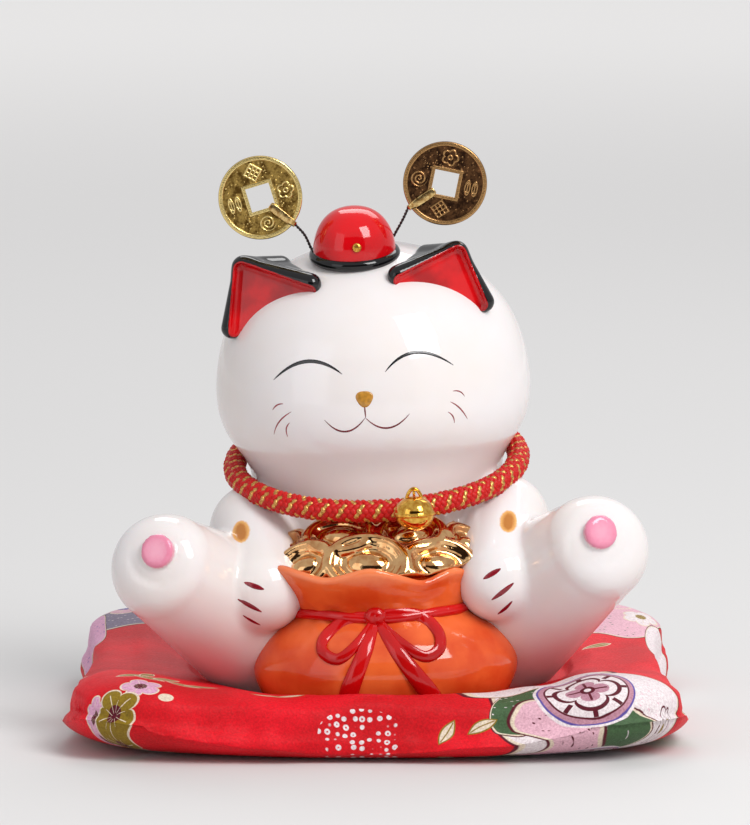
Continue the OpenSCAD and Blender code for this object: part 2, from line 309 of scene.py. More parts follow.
def skin(field, low, high, step):
    """Points and quads of the surface where field is zero."""
    low = np.array(low, float)
    counts = np.ceil((np.array(high) - low) / step).astype(int) + 1
    axes = [low[i] + step * np.arange(counts[i]) for i in range(3)]
    values = np.empty(counts, np.float32)
    for i, x in enumerate(axes[0]):
        sheet = np.stack(np.meshgrid([x], axes[1], axes[2], indexing="ij"), -1)
        values[i] = field(sheet.astype(np.float32))[0]
    inside = values < 0
    corner = [(i, j, k) for i in (0, 1) for j in (0, 1) for k in (0, 1)]
    windows = [tuple(slice(a, n - 1 + a) for a, n in zip(at, counts)) for at in corner]
    total = sum(inside[window].astype(np.int8) for window in windows)
    cells = np.argwhere((total > 0) & (total < 8))
    index = np.full(counts - 1, -1)
    index[tuple(cells.T)] = np.arange(len(cells))
    place, hits = np.zeros((len(cells), 3)), np.zeros(len(cells))
    for axis in range(3):
        unit = np.eye(3, dtype=int)[axis]
        for at in (c for c in corner if not c[axis]):
            start, end = values[tuple((cells + at).T)], values[tuple((cells + at + unit).T)]
            crossed = (start < 0) != (end < 0)
            share = np.where(crossed, start / np.where(crossed, start - end, 1), 0)
            place += crossed[:, None] * (np.array(at) + share[:, None] * unit)
            hits += crossed
    points = low + (cells + place / hits[:, None]) * step
    quads = []
    for axis in range(3):
        unit = np.eye(3, dtype=int)[axis]
        b, c = np.eye(3, dtype=int)[(axis + 1) % 3], np.eye(3, dtype=int)[(axis + 2) % 3]
        ends = [slice(None)] * 3
        starts = [slice(None)] * 3
        starts[axis], ends[axis] = slice(0, -1), slice(1, None)
        edges = np.argwhere(inside[tuple(starts)] != inside[tuple(ends)])
        fits = (edges[:, (axis + 1) % 3] > 0) & (edges[:, (axis + 2) % 3] > 0)
        edges = edges[fits & (edges < counts - 1).all(1)]
        ring = [index[tuple((edges - shift).T)] for shift in (b + c, c, 0 * b, b)]
        quad = np.stack(ring, 1)
        outward = inside[tuple(edges.T)]
        quads.append(np.where(outward[:, None], quad, quad[:, ::-1]))
    return settle(field, points), np.concatenate(quads)


print("skin ready")

# %% [markdown]
# ## Putting a mesh in the scene
# Every piece goes through one function: it makes the mesh in metres, sets its finish, hangs it on
# the body that carries it, and hides the nodes that it stands for.

# %% Making pieces
def piece(name, points, faces, finish, body="cat", place=CAT, stands_for=(), slot=None, stored=None):
    mesh = bpy.data.meshes.new(name)
    mesh.from_pydata((np.asarray(points, float) * MM).tolist(), [], np.asarray(faces).tolist()
                     if isinstance(faces, np.ndarray) else faces)
    for label, values in (stored or {}).items():
        kind = "FLOAT" if np.ndim(values) == 1 else "FLOAT_VECTOR"
        layer = mesh.attributes.new(label, kind, "POINT")
        layer.data.foreach_set("value" if kind == "FLOAT" else "vector", np.ravel(values).astype(np.float32))
    mesh.materials.append(finish.material)
    mesh.polygons.foreach_set("use_smooth", [True] * len(mesh.polygons))
    mesh.update()
    made = bpy.data.objects.new(name, mesh)
    bpy.context.collection.objects.link(made)
    made.matrix_world = place
    bpy.context.view_layer.update()
    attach(made, body)
    if stands_for:
        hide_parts(*stands_for)
    print(name, len(mesh.vertices), "points")
    return made


def tube(path, radius, sides=10, flat=1.0, closed=False, up=None):
    """Points and quads of a tube along a path; radius is a number or one for each point."""
    path = np.asarray(path, float)
    n = len(path)
    radius = np.broadcast_to(np.asarray(radius, float), (n,))
    ahead = np.roll(path, -1, 0) - np.roll(path, 1, 0)
    if not closed:
        ahead[0], ahead[-1] = path[1] - path[0], path[-1] - path[-2]
    ahead /= np.linalg.norm(ahead, axis=1)[:, None]
    if up is None:
        side = np.cross(ahead[0], [0, 0, 1] if abs(ahead[0][2]) < 0.9 else [1, 0, 0])
        sides_list = []
        for way in ahead:
            side = side - way * np.dot(side, way)
            side /= np.linalg.norm(side)
            sides_list.append(side)
        normal = np.array(sides_list)
    else:
        normal = np.asarray(up, float)
        normal = normal - ahead * (normal * ahead).sum(1)[:, None]
        normal /= np.linalg.norm(normal, axis=1)[:, None]
    other = np.cross(ahead, normal)
    turn = np.arange(sides) * 2 * np.pi / sides
    ring = (np.cos(turn)[None, :, None] * normal[:, None] * flat
            + np.sin(turn)[None, :, None] * other[:, None])
    points = (path[:, None] + ring * radius[:, None, None]).reshape(-1, 3)
    last = n if closed else n - 1
    quads = []
    for i in range(last):
        for j in range(sides):
            k, m = (j + 1) % sides, (i + 1) % n
            quads.append([i * sides + j, i * sides + k, m * sides + k, m * sides + j])
    if not closed:
        points = np.vstack([points, path[:1], path[-1:]])
        for j in range(sides):
            k = (j + 1) % sides
            quads.append([n * sides, k, j])
            quads.append([n * sides + 1, (n - 1) * sides + j, (n - 1) * sides + k])
    return points, quads


def wrapped_grid(rows, cols):
    """The quads of a grid of points whose columns close into a ring."""
    return [[i * cols + j, i * cols + (j + 1) % cols, (i + 1) * cols + (j + 1) % cols, (i + 1) * cols + j]
            for i in range(rows - 1) for j in range(cols)]


def gather(parts):
    """Several meshes as one list of points and one of faces."""
    points, faces, start = [], [], 0
    for more_points, more_faces in parts:
        points.append(np.asarray(more_points))
        faces += [[start + i for i in face] for face in more_faces]
        start += len(more_points)
    return np.vstack(points), faces


def bezier(a, b, c, count=16):
    """A curve from a to c that passes through b at its middle."""
    a, b, c = (np.array(v, float) for v in (a, b, c))
    control = 2 * b - (a + c) / 2
    t = np.linspace(0, 1, count)[:, None]
    return (1 - t) ** 2 * a + 2 * t * (1 - t) * control + t ** 2 * c


def catmull(points, per=8):
    """A smooth curve through the points."""
    points = np.array(points, float)
    points = np.vstack([2 * points[0] - points[1], points, 2 * points[-1] - points[-2]])
    out = []
    for i in range(1, len(points) - 2):
        a, b, c, d = points[i - 1:i + 3]
        for t in np.arange(per) / per:
            out.append(0.5 * (2 * b + (c - a) * t + (2 * a - 5 * b + 4 * c - d) * t ** 2
                              + (3 * b - a - 3 * c + d) * t ** 3))
    out.append(points[-2])
    return np.array(out)


print("piece helpers ready")

# %% [markdown]
# ## The white body
# Head, torso, arms, legs and tail are separate castings on the bench, but they are luted and
# sponged smooth before the glaze goes on, so on the finished cat they are one flowing surface.
# It is made as one mesh, with the arms and legs blended in by narrow fillets.

# %% Forms of the head and torso
HEAD_BALL = ((0, 0, 95.5), (43.6, 40.5, 33.6))
CHEEK_BALL = ((0, -1, 82.6), (43.8, 41.4, 27.2))
TORSO_BALL = ((0, 3, 19), (46.5, 44, 47))
NECK_BAR = ((0, 0, 46), (0, 0, 62), 35, 36)
SHOULDER, HAND = (35, -15, 48.5), (33.5, -40, 35.5)
SHOULDER_R, HAND_R = 13.8, 12.4


def mirrored(point, side):
    return (point[0] * side, point[1], point[2])


def head(p):
    return join(ball(p, *HEAD_BALL), ball(p, *CHEEK_BALL), 10)


def torso(p):
    return join(ball(p, *TORSO_BALL), limb(p, *NECK_BAR), 12)


print("head and torso described")

# %% [markdown]
# Each leg is a fat bar from hip to paw. Its sole is cut almost flat, facing forwards, with a
# shallow ring groove around a raised pad.

# %% Forms of the legs
PAW, HIP = (60.5, -47, 43.5), (32, -12, 18)
PAW_R, HIP_R = 15.6, 23.0
PAD = (62.4, -60, 50.6)
SOLE_WAY = (0.30, -0.92, 0.26)
PAD_R, GROOVE_R = 4.9, 8.9


def leg(p, side):
    form = limb(p, mirrored(PAW, side), mirrored(HIP, side), PAW_R, HIP_R)
    pad, way = mirrored(PAD, side), mirrored(SOLE_WAY, side)
    sole = plane(p, pad, way)
    form = -join(-form, -sole, 6)
    away = p - np.float32(pad)
    across = np.sqrt(np.maximum((away ** 2).sum(-1) - sole ** 2, 0))
    groove = np.hypot(across - GROOVE_R, sole + 0.2) - 1.4
    form = cut(form, groove, 1.0)
    return join(form, np.hypot(np.maximum(across - PAD_R + 1.2, 0), sole + 0.3) - 1.2, 0.8)


def cat_body(p):
    form = join(head(p), torso(p), 5)
    side = np.where(p[..., 0:1] < 0, np.float32(-1), np.float32(1))
    q = np.concatenate([p[..., 0:1] * side, p[..., 1:]], -1)
    arm = limb(q, SHOULDER, HAND, SHOULDER_R, HAND_R)
    form = join(form, leg(q, 1), 3)
    form = join(form, arm, 1.8)
    form = join(form, ball(p, (14, 43, 17), (9, 9, 8)), 4)
    return -join(-form, p[..., 2], 2.5)


def front_of(field, x, z, start=-75.0):
    """The point of a form that is met first by going back from the front at x and z."""
    p = np.float32([[x, start, z]])
    for _ in range(90):
        p[0, 1] += field(p)[0] * 0.8
    return p[0].astype(float)


SKIN_STEP = 1.15
body_points, body_quads = skin(cat_body, (-80, -70, -3), (80, 56, 133), SKIN_STEP)
print("body skin", len(body_points), "points")

# %% [markdown]
# ## White glaze and what is painted on it
# The white is a tin glaze under a clear coat, never quite pure: it warms a little here and
# there, at random. The spots, pads and patches are brushed on before the firing, so they are colour in
# the same glossy surface. Each point of the mesh stores how far it is from a painted shape,
# and the finish turns that distance into an edge.

# %% Painted shapes as distances
SPOTS = (((-39.2, -35.2, 51.3), (2.6, 6, 3.7), 8), ((36.8, -36.3, 50.9), (2.5, 6, 3.8), -14))


def spot_distance(p):
    nearest = np.full(len(p), 99.0)
    for centre, radii, turn in SPOTS:
        c, s = math.cos(math.radians(turn)), math.sin(math.radians(turn))
        q = turned(p, centre, [[c, 0, -s], [0, 1, 0], [s, 0, c]])
        nearest = np.minimum(nearest, ball(q, (0, 0, 0), radii))
    return nearest


def pad_distance(p):
    nearest = np.full(len(p), 99.0)
    for side in (-1, 1):
        away = p - np.array(mirrored(PAD, side))
        nearest = np.minimum(nearest, np.linalg.norm(away, axis=1) - PAD_R)
    return nearest


def patch_distance(p):
    crown = ball(p, (21, 22, 120), (17, 21, 16))
    back = ball(p, (38, 22, 48), (22, 24, 17))
    rump = ball(p, (-24, 46, 30), (19, 16, 17))
    tip = ball(p, (16, 53, 18), (9, 6, 8))
    return np.minimum(np.minimum(crown, back), np.minimum(rump, tip))


painted = {"spot": spot_distance(body_points), "pad": pad_distance(body_points),
           "patch": patch_distance(body_points)}
print("painted shapes", {key: round(float(value.min()), 1) for key, value in painted.items()})

# %% White glaze finish
WHITE = rgb(230, 225, 225)
WARM_WHITE = rgb(229, 221, 217)
OCHRE, OCHRE_EDGE = rgb(186, 116, 44), rgb(228, 170, 96)
PAD_PINK, PAD_EDGE = rgb(236, 162, 184), rgb(226, 134, 162)
PATCH_GREY, PATCH_DARK = rgb(122, 116, 124), rgb(38, 34, 38)

white_glaze = Finish("white_glaze", Roughness=0.06, Subsurface_Weight=0.04,
                     Subsurface_Scale=0.004)
where = white_glaze.place()
cloudy = white_glaze.noise(where, 0.035, 3.0)
colour = cloudy.ease(0.3, 0.75).tint(WHITE, WARM_WHITE)
patch = white_glaze.stored("patch") + white_glaze.noise(where, 0.35, 3.0) * 2.4 - 1.2
patch_colour = patch.ease(-7, 0).tint(PATCH_DARK, PATCH_GREY)
colour = patch.ease(-0.9, 0.9).tint(patch_colour, colour)
spot = white_glaze.stored("spot") + white_glaze.noise(where, 1.2, 2.0) * 0.5 - 0.25
spot_colour = spot.ease(-1.6, -0.2).tint(OCHRE, OCHRE_EDGE)
colour = spot.ease(-0.35, 0.35).tint(spot_colour, colour)
pad = white_glaze.stored("pad") + white_glaze.noise(where, 1.5, 2.0) * 0.3 - 0.15
pad_colour = (pad + white_glaze.noise(where, 0.8, 3.0) * 2 - 1).ease(-4, 0).tint(PAD_PINK, PAD_EDGE)
colour = pad.ease(-0.3, 0.3).tint(pad_colour, colour)
white_glaze.set(Base_Color=colour)
white_glaze.bump(white_glaze.noise(where, 0.12, 2.0), 0.25, 0.25)

piece("glazed_body", body_points, body_quads, white_glaze, stored=painted, slot="white_glaze",
      stands_for=("head_shell", "torso_shell", "left_leg", "right_leg", "left_arm", "right_arm", "tail"))

# %% [markdown]
# ## The painted face
# Eyes, mouth, whiskers and claws are brush strokes of enamel, fired on top of the glaze, so they
# stand up by a hair. Each stroke is laid on the surface from three touches of the brush, and it
# swells in the middle and thins to its ends.

# %% Brush strokes
def on_body(x, z):
    return front_of(cat_body, x, z)


STROKE_HIGH, STROKE_SWELL = 0.10, 0.6


def stroke(touches, width, count=26):
    """A raised stroke through three (x, z) touches, as points and quads."""
    flat = bezier(*[(x, 0, z) for x, z in touches], count)
    path = np.array([on_body(x, z) for x, _, z in flat])
    out = slope(cat_body, path)
    out /= np.linalg.norm(out, axis=1)[:, None]
    ahead = np.gradient(path, axis=0)
    ahead /= np.linalg.norm(ahead, axis=1)[:, None]
    side = np.cross(out, ahead)
    t = np.linspace(0, 1, count)
    half = width / 2 * (0.12 + 0.88 * np.sin(np.pi * t) ** STROKE_SWELL)
    across = np.linspace(-1, 1, 7)
    points = []
    for s in across:
        lift = STROKE_HIGH * math.sqrt(max(0, 1 - s * s)) - 0.03
        points.append(path + side * (half * s)[:, None] + out * lift)
    points = np.stack(points, 1)
    rows, cols = points.shape[:2]
    quads = [[i * cols + j, i * cols + j + 1, (i + 1) * cols + j + 1, (i + 1) * cols + j]
             for i in range(rows - 1) for j in range(cols - 1)]
    under = points.reshape(-1, 3) - np.repeat(out, cols, 0) * 0.25
    n = rows * cols
    quads += [[a + n for a in reversed(q)] for q in quads]
    rim = ([i * cols for i in range(rows)] + [(rows - 1) * cols + j for j in range(1, cols)]
           + [i * cols + cols - 1 for i in range(rows - 2, -1, -1)] + list(range(cols - 2, 0, -1)))
    for a, b in zip(rim, rim[1:] + rim[:1]):
        quads.append([a, b, b + n, a + n])
    return np.vstack([points.reshape(-1, 3), under]), quads


def enamel(name, red, green, blue, rough=0.18):
    made = Finish(name, Roughness=rough, Coat_Weight=0.4, Coat_Roughness=0.06)
    shade = made.noise(made.place(), 0.9, 3.0).ease(0.3, 0.8)
    deep = tuple(value * 0.55 for value in rgb(red, green, blue)[:3]) + (1,)
    made.set(Base_Color=shade.tint(rgb(red, green, blue), deep))
    return made


black_enamel = enamel("black_enamel", 22, 22, 26)
maroon_enamel = enamel("maroon_enamel", 118, 22, 34)
whisker_enamel = enamel("whisker_enamel", 150, 52, 60)
claw_enamel = enamel("claw_enamel", 142, 14, 34)
print("enamels ready")

# %% Eyes, mouth, whiskers and claws
EYES = (((-28, 94.2), (-18.2, 99.6), (-8.4, 96.0), 1.25),
        ((3.8, 96.2), (12.6, 101.0), (23.2, 96.5), 1.05))
MOUTH = (((-2.5, 87.2), (-2.4, 85.4), (-2.3, 83.5), 0.5),
         ((-14, 83.2), (-8.2, 79.7), (-2.4, 83.6), 0.62),
         ((-2.4, 83.6), (3.8, 80.3), (10.2, 84.1), 0.62))
WHISKERS = (((-28.7, 85.6), (-27.4, 87.1), (-25.5, 87.6), 0.5),
            ((-28.6, 78.5), (-26.9, 82.4), (-23.3, 85.4), 0.5),
            ((-24.7, 78.0), (-25.0, 80.4), (-23.9, 82.2), 0.5),
            ((22.6, 89.3), (24.6, 89.0), (26.0, 87.4), 0.45),
            ((21.8, 86.4), (24.5, 84.2), (26.5, 80.8), 0.5),
            ((21.0, 83.6), (22.4, 82.1), (22.7, 80.1), 0.45))
CLAWS = (((-38.6, 39.2), (-35.8, 38.2), (-33.0, 37.2), 1.5),
         ((-40.8, 34.5), (-37.3, 32.6), (-34.0, 30.6), 1.4),
         ((-39.4, 29.6), (-37.0, 27.8), (-34.6, 26.4), 1.2),
         ((34.0, 40.1), (31.5, 38.8), (28.9, 37.3), 1.5),
         ((37.5, 35.9), (34.4, 33.6), (31.0, 31.2), 1.4),
         ((36.9, 30.6), (34.8, 28.4), (32.6, 26.6), 1.2))


def strokes(name, finish, marks):
    return piece(name, *gather([stroke(mark[:3], mark[3]) for mark in marks]), finish, slot="black_glaze")


strokes("painted_eyes", black_enamel, EYES)
strokes("painted_mouth", maroon_enamel, MOUTH)
strokes("painted_whiskers", whisker_enamel, WHISKERS)
strokes("painted_claws", claw_enamel, CLAWS)

# %% [markdown]
# The nose is a drop of ochre enamel, a rounded triangle with its point down.

# %% Nose
NOSE_AT, NOSE_W = (-2.4, 89.0), 2.5


def nose_mesh(rings=6, count=36):
    points, quads = [], []
    for k in range(rings + 1):
        share = k / rings
        for i in range(count):
            t = 2 * math.pi * i / count
            reach = NOSE_W * share * (1 + 0.09 * math.cos(3 * (t + math.pi / 2)))
            at = on_body(NOSE_AT[0] + reach * math.cos(t), NOSE_AT[1] + 0.95 * reach * math.sin(t))
            points.append(at - np.array([0, 0.28 * math.sqrt(max(0, 1 - share ** 4)) - 0.04, 0]))
    for k in range(rings):
        for i in range(count):
            j = (i + 1) % count
            quads.append([k * count + i, k * count + j, (k + 1) * count + j, (k + 1) * count + i])
    rim = [rings * count + i for i in range(count)]
    start = len(points)
    points += [points[i] + np.array([0, 0.5, 0]) for i in rim]
    for i in range(count):
        j = (i + 1) % count
        quads.append([rim[i], rim[j], start + j, start + i])
    quads.append([start + i for i in range(count)])
    return points, quads


ochre_enamel = enamel("ochre_enamel", 196, 138, 48, 0.22)
piece("painted_nose", *nose_mesh(), ochre_enamel, slot="gold_lustre")

# %% [markdown]
# ## The ears
# Each ear is pressed from a rounded triangle of clay and cupped at the front. The cup is red and
# the rim and back are black. The mesh stores its distance from the cup, so that the colour
# changes exactly at the cup's edge.

# %% Ears
EARS = {
    "left_ear": ((-39.6, -15, 107.4), (-16.4, -25, 120.2), (-35.4, -15, 124.6), (-25, -7, 123.6)),
    "right_ear": ((32.6, -20, 112.4), (8.6, -26, 121.6), (25.4, -19, 126.6), (17, -9, 125.2)),
}
EAR_BLADE_R, EAR_BACK_R, EAR_CUP_R = 1.7, 2.4, 2.1
CUP_SHARE, CUP_OUT, CUP_DOWN = 0.9, 2.6, 0.22


def triangle(p, a, b, c):
    """Distance from a flat triangle."""
    a, b, c = (np.float32(v) for v in (a, b, c))
    normal = np.cross(b - a, a - c)
    inside = 0
    edge = np.full(p.shape[:-1], 1e9, np.float32)
    for start, end in ((a, b), (b, c), (c, a)):
        way = end - start
        inside = inside + np.sign((p - start) @ np.cross(way, normal))
        t = np.clip((p - start) @ way / (way @ way), 0, 1)
        edge = np.minimum(edge, ((p - start - t[..., None] * way) ** 2).sum(-1))
    flat = ((p - a) @ normal) ** 2 / (normal @ normal)
    return np.sqrt(np.where(inside < 2, edge, flat))


def make_ear(name, root_out, root_in, tip, back):
    corners = [np.array(v, float) for v in (root_out, root_in, tip)]
    middle = sum(corners) / 3
    way = np.cross(corners[1] - corners[0], corners[2] - corners[0])
    way /= np.linalg.norm(way)
    if way[1] > 0:
        way = -way
    # the cup reaches down past the root, so that it runs out into the head without a rim
    low = (corners[0] + corners[1]) / 2 - corners[2]
    cup = [middle + (v - middle) * CUP_SHARE + way * CUP_OUT for v in corners]
    cup[0] += low * CUP_DOWN
    cup[1] += low * CUP_DOWN

    def cup_form(p):
        return triangle(p, *cup) - EAR_CUP_R

    def form(p):
        blade = triangle(p, *corners) - EAR_BLADE_R
        inner_side = triangle(p, corners[2], corners[1], back)
        outer_side = triangle(p, corners[2], corners[0], back)
        behind = join(inner_side, outer_side, 3) - EAR_BACK_R
        return cut(join(blade, behind, 4), cup_form(p), 0.5)

    low_corner = np.min(corners + [np.array(back)], axis=0) - 11
    high_corner = np.max(corners + [np.array(back)], axis=0) + 11
    points, quads = skin(form, low_corner, high_corner, 0.5)
    return piece(name + "_glazed", points, quads, ear_glaze, stands_for=(name,), slot="black_glaze",
                 stored={"cup": cup_form(points)})


EAR_RED, EAR_DEEP, EAR_BLACK = rgb(206, 4, 12), rgb(160, 2, 8), rgb(12, 12, 14)
ear_glaze = Finish("ear_glaze")
cup = ear_glaze.stored("cup")
where = ear_glaze.place()
inner = ear_glaze.noise(where, 0.12, 3.0).ease(0.3, 0.7).tint(EAR_RED, EAR_DEEP)
edge = (cup + ear_glaze.noise(where, 0.9, 2.0) * 0.3 - 0.15).ease(0.35, 0.6)
ear_glaze.set(Base_Color=edge.tint(inner, EAR_BLACK), Roughness=edge * -0.08 + 0.14)
for name, corners in EARS.items():
    make_ear(name, *corners)

# %% [markdown]
# ## The hat
# A small glossy red dome sits on a rolled black brim, tilted forwards a little. Both are turned
# forms, so each is one outline swept round an axis.

# %% Turned forms
def turned_mesh(outline, count=96, ripple=None):
    """Points and quads of an outline of (radius, height) swept round Z; ripple bends it."""
    outline = np.asarray(outline, float)
    turn = np.arange(count) * 2 * np.pi / count
    points = np.stack([np.outer(outline[:, 0], np.cos(turn)), np.outer(outline[:, 0], np.sin(turn)),
                       np.outer(outline[:, 1], np.ones(count))], -1)
    if ripple:
        points = ripple(points, turn)
    n = len(outline)
    quads = wrapped_grid(n, count)
    flat = points.reshape(-1, 3)
    if outline[0][0] > 0:
        flat = np.vstack([flat, flat[:count].mean(0)])
        quads += [[len(flat) - 1, (j + 1) % count, j] for j in range(count)]
    if outline[-1][0] > 0:
        flat = np.vstack([flat, flat[(n - 1) * count:n * count].mean(0)])
        last = (n - 1) * count
        quads += [[len(flat) - 1, last + j, last + (j + 1) % count] for j in range(count)]
    return flat, quads


HAT_AT, HAT_TILT = (-3.6, -12, 127), 12
HAT_R, HAT_H = 11.9, 13.6
hat_place = CAT @ Matrix.Translation(Vector(HAT_AT) * MM) @ Matrix.Rotation(math.radians(HAT_TILT), 4, "X")


def glaze(name, red, green, blue, dark=0.55, rough=0.1, scale=0.05):
    """A coloured glaze that pools darker here and there."""
    made = Finish(name, Roughness=rough)
    pool = made.noise(made.place(), scale, 4.0).ease(0.35, 0.75)
    deep = tuple(value * dark for value in rgb(red, green, blue)[:3]) + (1,)
    made.set(Base_Color=pool.tint(rgb(red, green, blue), deep))
    made.bump(made.noise(made.place(), 0.25, 2.0), 0.2, 0.2)
    return made


hat_red = glaze("hat_red_glaze", 216, 6, 18, 0.72, 0.08)
brim_black = glaze("brim_black_glaze", 12, 12, 14, 0.6, 0.07)
angles = np.linspace(0, math.pi / 2, 22)
dome = [(HAT_R - 1.2, -3), (HAT_R - 0.4, -1)] + [
    (HAT_R * math.cos(a) ** 0.8, HAT_H * math.sin(a) ** 0.95) for a in angles[:-1]] + [(0.02, HAT_H)]
piece("hat_dome", *turned_mesh(dome), hat_red, place=hat_place, stands_for=("hat_crown",), slot="red_glaze")
BRIM_R = 1.6
roll = [(HAT_R - 0.4 + BRIM_R * math.cos(a), -0.1 + BRIM_R * math.sin(a)) for a in np.linspace(-2.6, 2.6, 20)]
piece("hat_rolled_brim", *turned_mesh(roll), brim_black, place=hat_place, stands_for=("hat_brim",),
      slot="black_glaze")
gold_dot = Finish("gold_enamel", Base_Color=rgb(226, 170, 70), Metallic=0.85, Roughness=0.25)
speck = gold_dot.noise(gold_dot.place(), 1.8, 3.0)
gold_dot.set(Base_Color=speck.ease(0.35, 0.7).tint(rgb(232, 182, 84), rgb(176, 112, 34)))
DOT_R, DOT_UP = 1.3, 5.4
dot = [(DOT_R * math.cos(a), 0.45 * math.sin(a)) for a in np.linspace(-0.5, math.pi / 2 - 0.01, 8)]
dot_place = (hat_place @ Matrix.Rotation(math.radians(4), 4, "Z")
             @ Matrix.Translation(Vector((0, -HAT_R * 0.965, DOT_UP)) * MM)
             @ Matrix.Rotation(math.radians(74), 4, "X"))
piece("hat_gold_dot", *turned_mesh(dot, 32), gold_dot, place=dot_place, slot="gold_lustre")

# %% [markdown]
# ## The money bag
# The bag is a turned form squeezed from front to back: a low fat belly, a tied neck, and a ruffle
# that flares up into seven scallops round the heap. The ruffle's waves are made by raising and
# pushing out the rim as it goes round, more and more towards its edge.

# %% Money bag
BAG_AT, BAG_SQUASH = (0.3, -34, 0), 0.8
BAG_NECK_Z, RUFFLE_TOP, GATHERS = 28.3, 38.6, 7
RUFFLE_SHIFT = -3.0
bag_place = CAT @ Matrix.Translation(Vector(BAG_AT) * MM)


def bag_radius(z):
    """How far the belly and the ruffle stand out at each height."""
    return np.interp(z, BAG_HEIGHTS, BAG_RADII)


bag_line = catmull([(28, 0), (33.5, 1.8), (37, 7.5), (37.7, 13.5), (35.4, 19), (31, 23.6), (26.8, 26.8),
                    (25.7, 28.6), (26.4, 30.6), (28.2, 33.6), (29.8, 36.6), (30.8, RUFFLE_TOP)], 5)
BAG_HEIGHTS, BAG_RADII = bag_line[:, 1], bag_line[:, 0]
lip = [(30.9, 39.5), (30.2, 40.2), (29.2, 40.3), (28.2, 39.6), (27.4, 38.2), (26.2, 36.4), (24, 35.2),
       (0.01, 35)]
bag_outline = [(0.01, 0.1)] + [tuple(v) for v in bag_line] + lip
# how much the rim stands up or dips, at angles in degrees round from the front towards +X
RIM_WAVE = ((-180, 1.6), (-150, -1.6), (-118, 1.8), (-86, -0.6), (-54, 3.0), (-25, -0.4), (0, 2.6),
            (31, -2.4), (50, 0.6), (68, -1.2), (95, 1.6), (122, -1.4), (150, 1.6), (180, 1.6))


def ruffle(points, turn):
    """Waves that grow from the tied neck to the rim, with folds gathered under them."""
    z, r = points[..., 2].copy(), np.hypot(points[..., 0], points[..., 1])
    share = np.clip((z - BAG_NECK_Z) / (RUFFLE_TOP - BAG_NECK_Z), 0, 1.1) ** 1.3
    share *= np.clip((r - 20) / 8, 0, 1)
    way = np.degrees((turn + np.pi / 2 + np.pi) % (2 * np.pi) - np.pi)
    fine = np.linspace(-180, 180, 721)
    level = np.interp(fine, *np.array(RIM_WAVE).T)
    smooth = np.convolve(np.tile(level[:-1], 3), np.hanning(41) / np.hanning(41).sum(), "same")[720:1441]
    wave = np.interp(way, fine, smooth)[None, :]
    gathers = np.exp(-((z - BAG_NECK_Z) / 5.5) ** 2) * (z < BAG_NECK_Z + 3)
    grown = 1 + (0.55 * share * wave - 0.3 * gathers * np.cos(3 * GATHERS * turn)[None, :]
                 + 0.22 * gathers * np.cos(2 * GATHERS * turn + 1)[None, :]) / np.maximum(r, 5)
    points[..., 0] = points[..., 0] * grown + RUFFLE_SHIFT * np.clip((z - 22) / 14, 0, 1) ** 2
    points[..., 1] *= grown * BAG_SQUASH
    points[..., 2] += share * wave
    return points


bag_glaze = Finish("bag_orange_glaze", Roughness=0.08)
where = bag_glaze.place()
# the third colour is a painted highlight, for the top of the ruffle
BAG_ORANGE, BAG_DEEP, BAG_TOP_LIGHT = rgb(232, 104, 48), rgb(206, 66, 24), rgb(244, 148, 96)
pool = bag_glaze.noise(where, 0.06, 4.0).ease(0.35, 0.72)
colour = pool.tint(BAG_ORANGE, BAG_DEEP)
height = where.split()[2]
# painted highlight: the top of the ruffle is painted lighter, as light from above makes it look
painted_top_light = (height + bag_glaze.noise(where, 0.25, 2.0) * 3).ease(38.5, 42.5)
colour = (painted_top_light * 0.55).tint(colour, BAG_TOP_LIGHT)
bag_glaze.set(Base_Color=colour)
bag_glaze.bump(bag_glaze.noise(where, 0.2, 2.0), 0.25, 0.25)
piece("money_bag_glazed", *turned_mesh(bag_outline, 168, ruffle), bag_glaze, place=bag_place,
      stands_for=("money_bag",), slot="orange_glaze")

# %% [markdown]
# A red ribbon is tied round the neck with a bow in front. The band hugs the neck. The loops and
# tails are flattened tubes that lie on the belly, so their points are pressed back onto it.

# %% Ribbon and bow
ribbon_glaze = glaze("ribbon_red_glaze", 200, 8, 10, 0.6, 0.1)


def on_bag(x, z, off=0.0):
    """A point on the front of the bag, or off it by a given distance."""
    r = bag_radius(z) + off
    shift = RUFFLE_SHIFT * np.clip((z - 22) / 14, 0, 1) ** 2
    return np.array([x, -BAG_SQUASH * math.sqrt(max(r * r - (x - shift) ** 2, 1)), z])


turn = np.linspace(0, 2 * np.pi, 120, endpoint=False)
band_r = 26.1 + 0.25 * np.cos(9 * turn)
band = np.stack([band_r * np.cos(turn) - 0.6, BAG_SQUASH * band_r * np.sin(turn),
                 BAG_NECK_Z + 0.5 * np.sin(2 * turn + 1) + 0.3 * np.sin(5 * turn)], 1)
band_out = np.stack([np.cos(turn), np.sin(turn), 0 * turn], 1)
piece("bag_ribbon_glazed", *tube(band, 1.55, 12, 0.8, True, band_out),
      ribbon_glaze, place=bag_place, stands_for=("bag_ribbon",), slot="red_glaze")


def bow_strip(spots, widths, lift=0.5, flat=0.42):
    """A flat strip over (x, z) spots on the bag; it faces away from the belly."""
    line = catmull([(x, 0, z) for x, z in spots], 6)
    path = np.array([on_bag(x, z, lift) for x, _, z in line])
    out = path * [1, 1 / BAG_SQUASH ** 2, 0] + [0, 0, 4.0]
    width = np.interp(np.linspace(0, 1, len(path)), np.linspace(0, 1, len(widths)), widths)
    return tube(path, width, 14, flat, False, out)


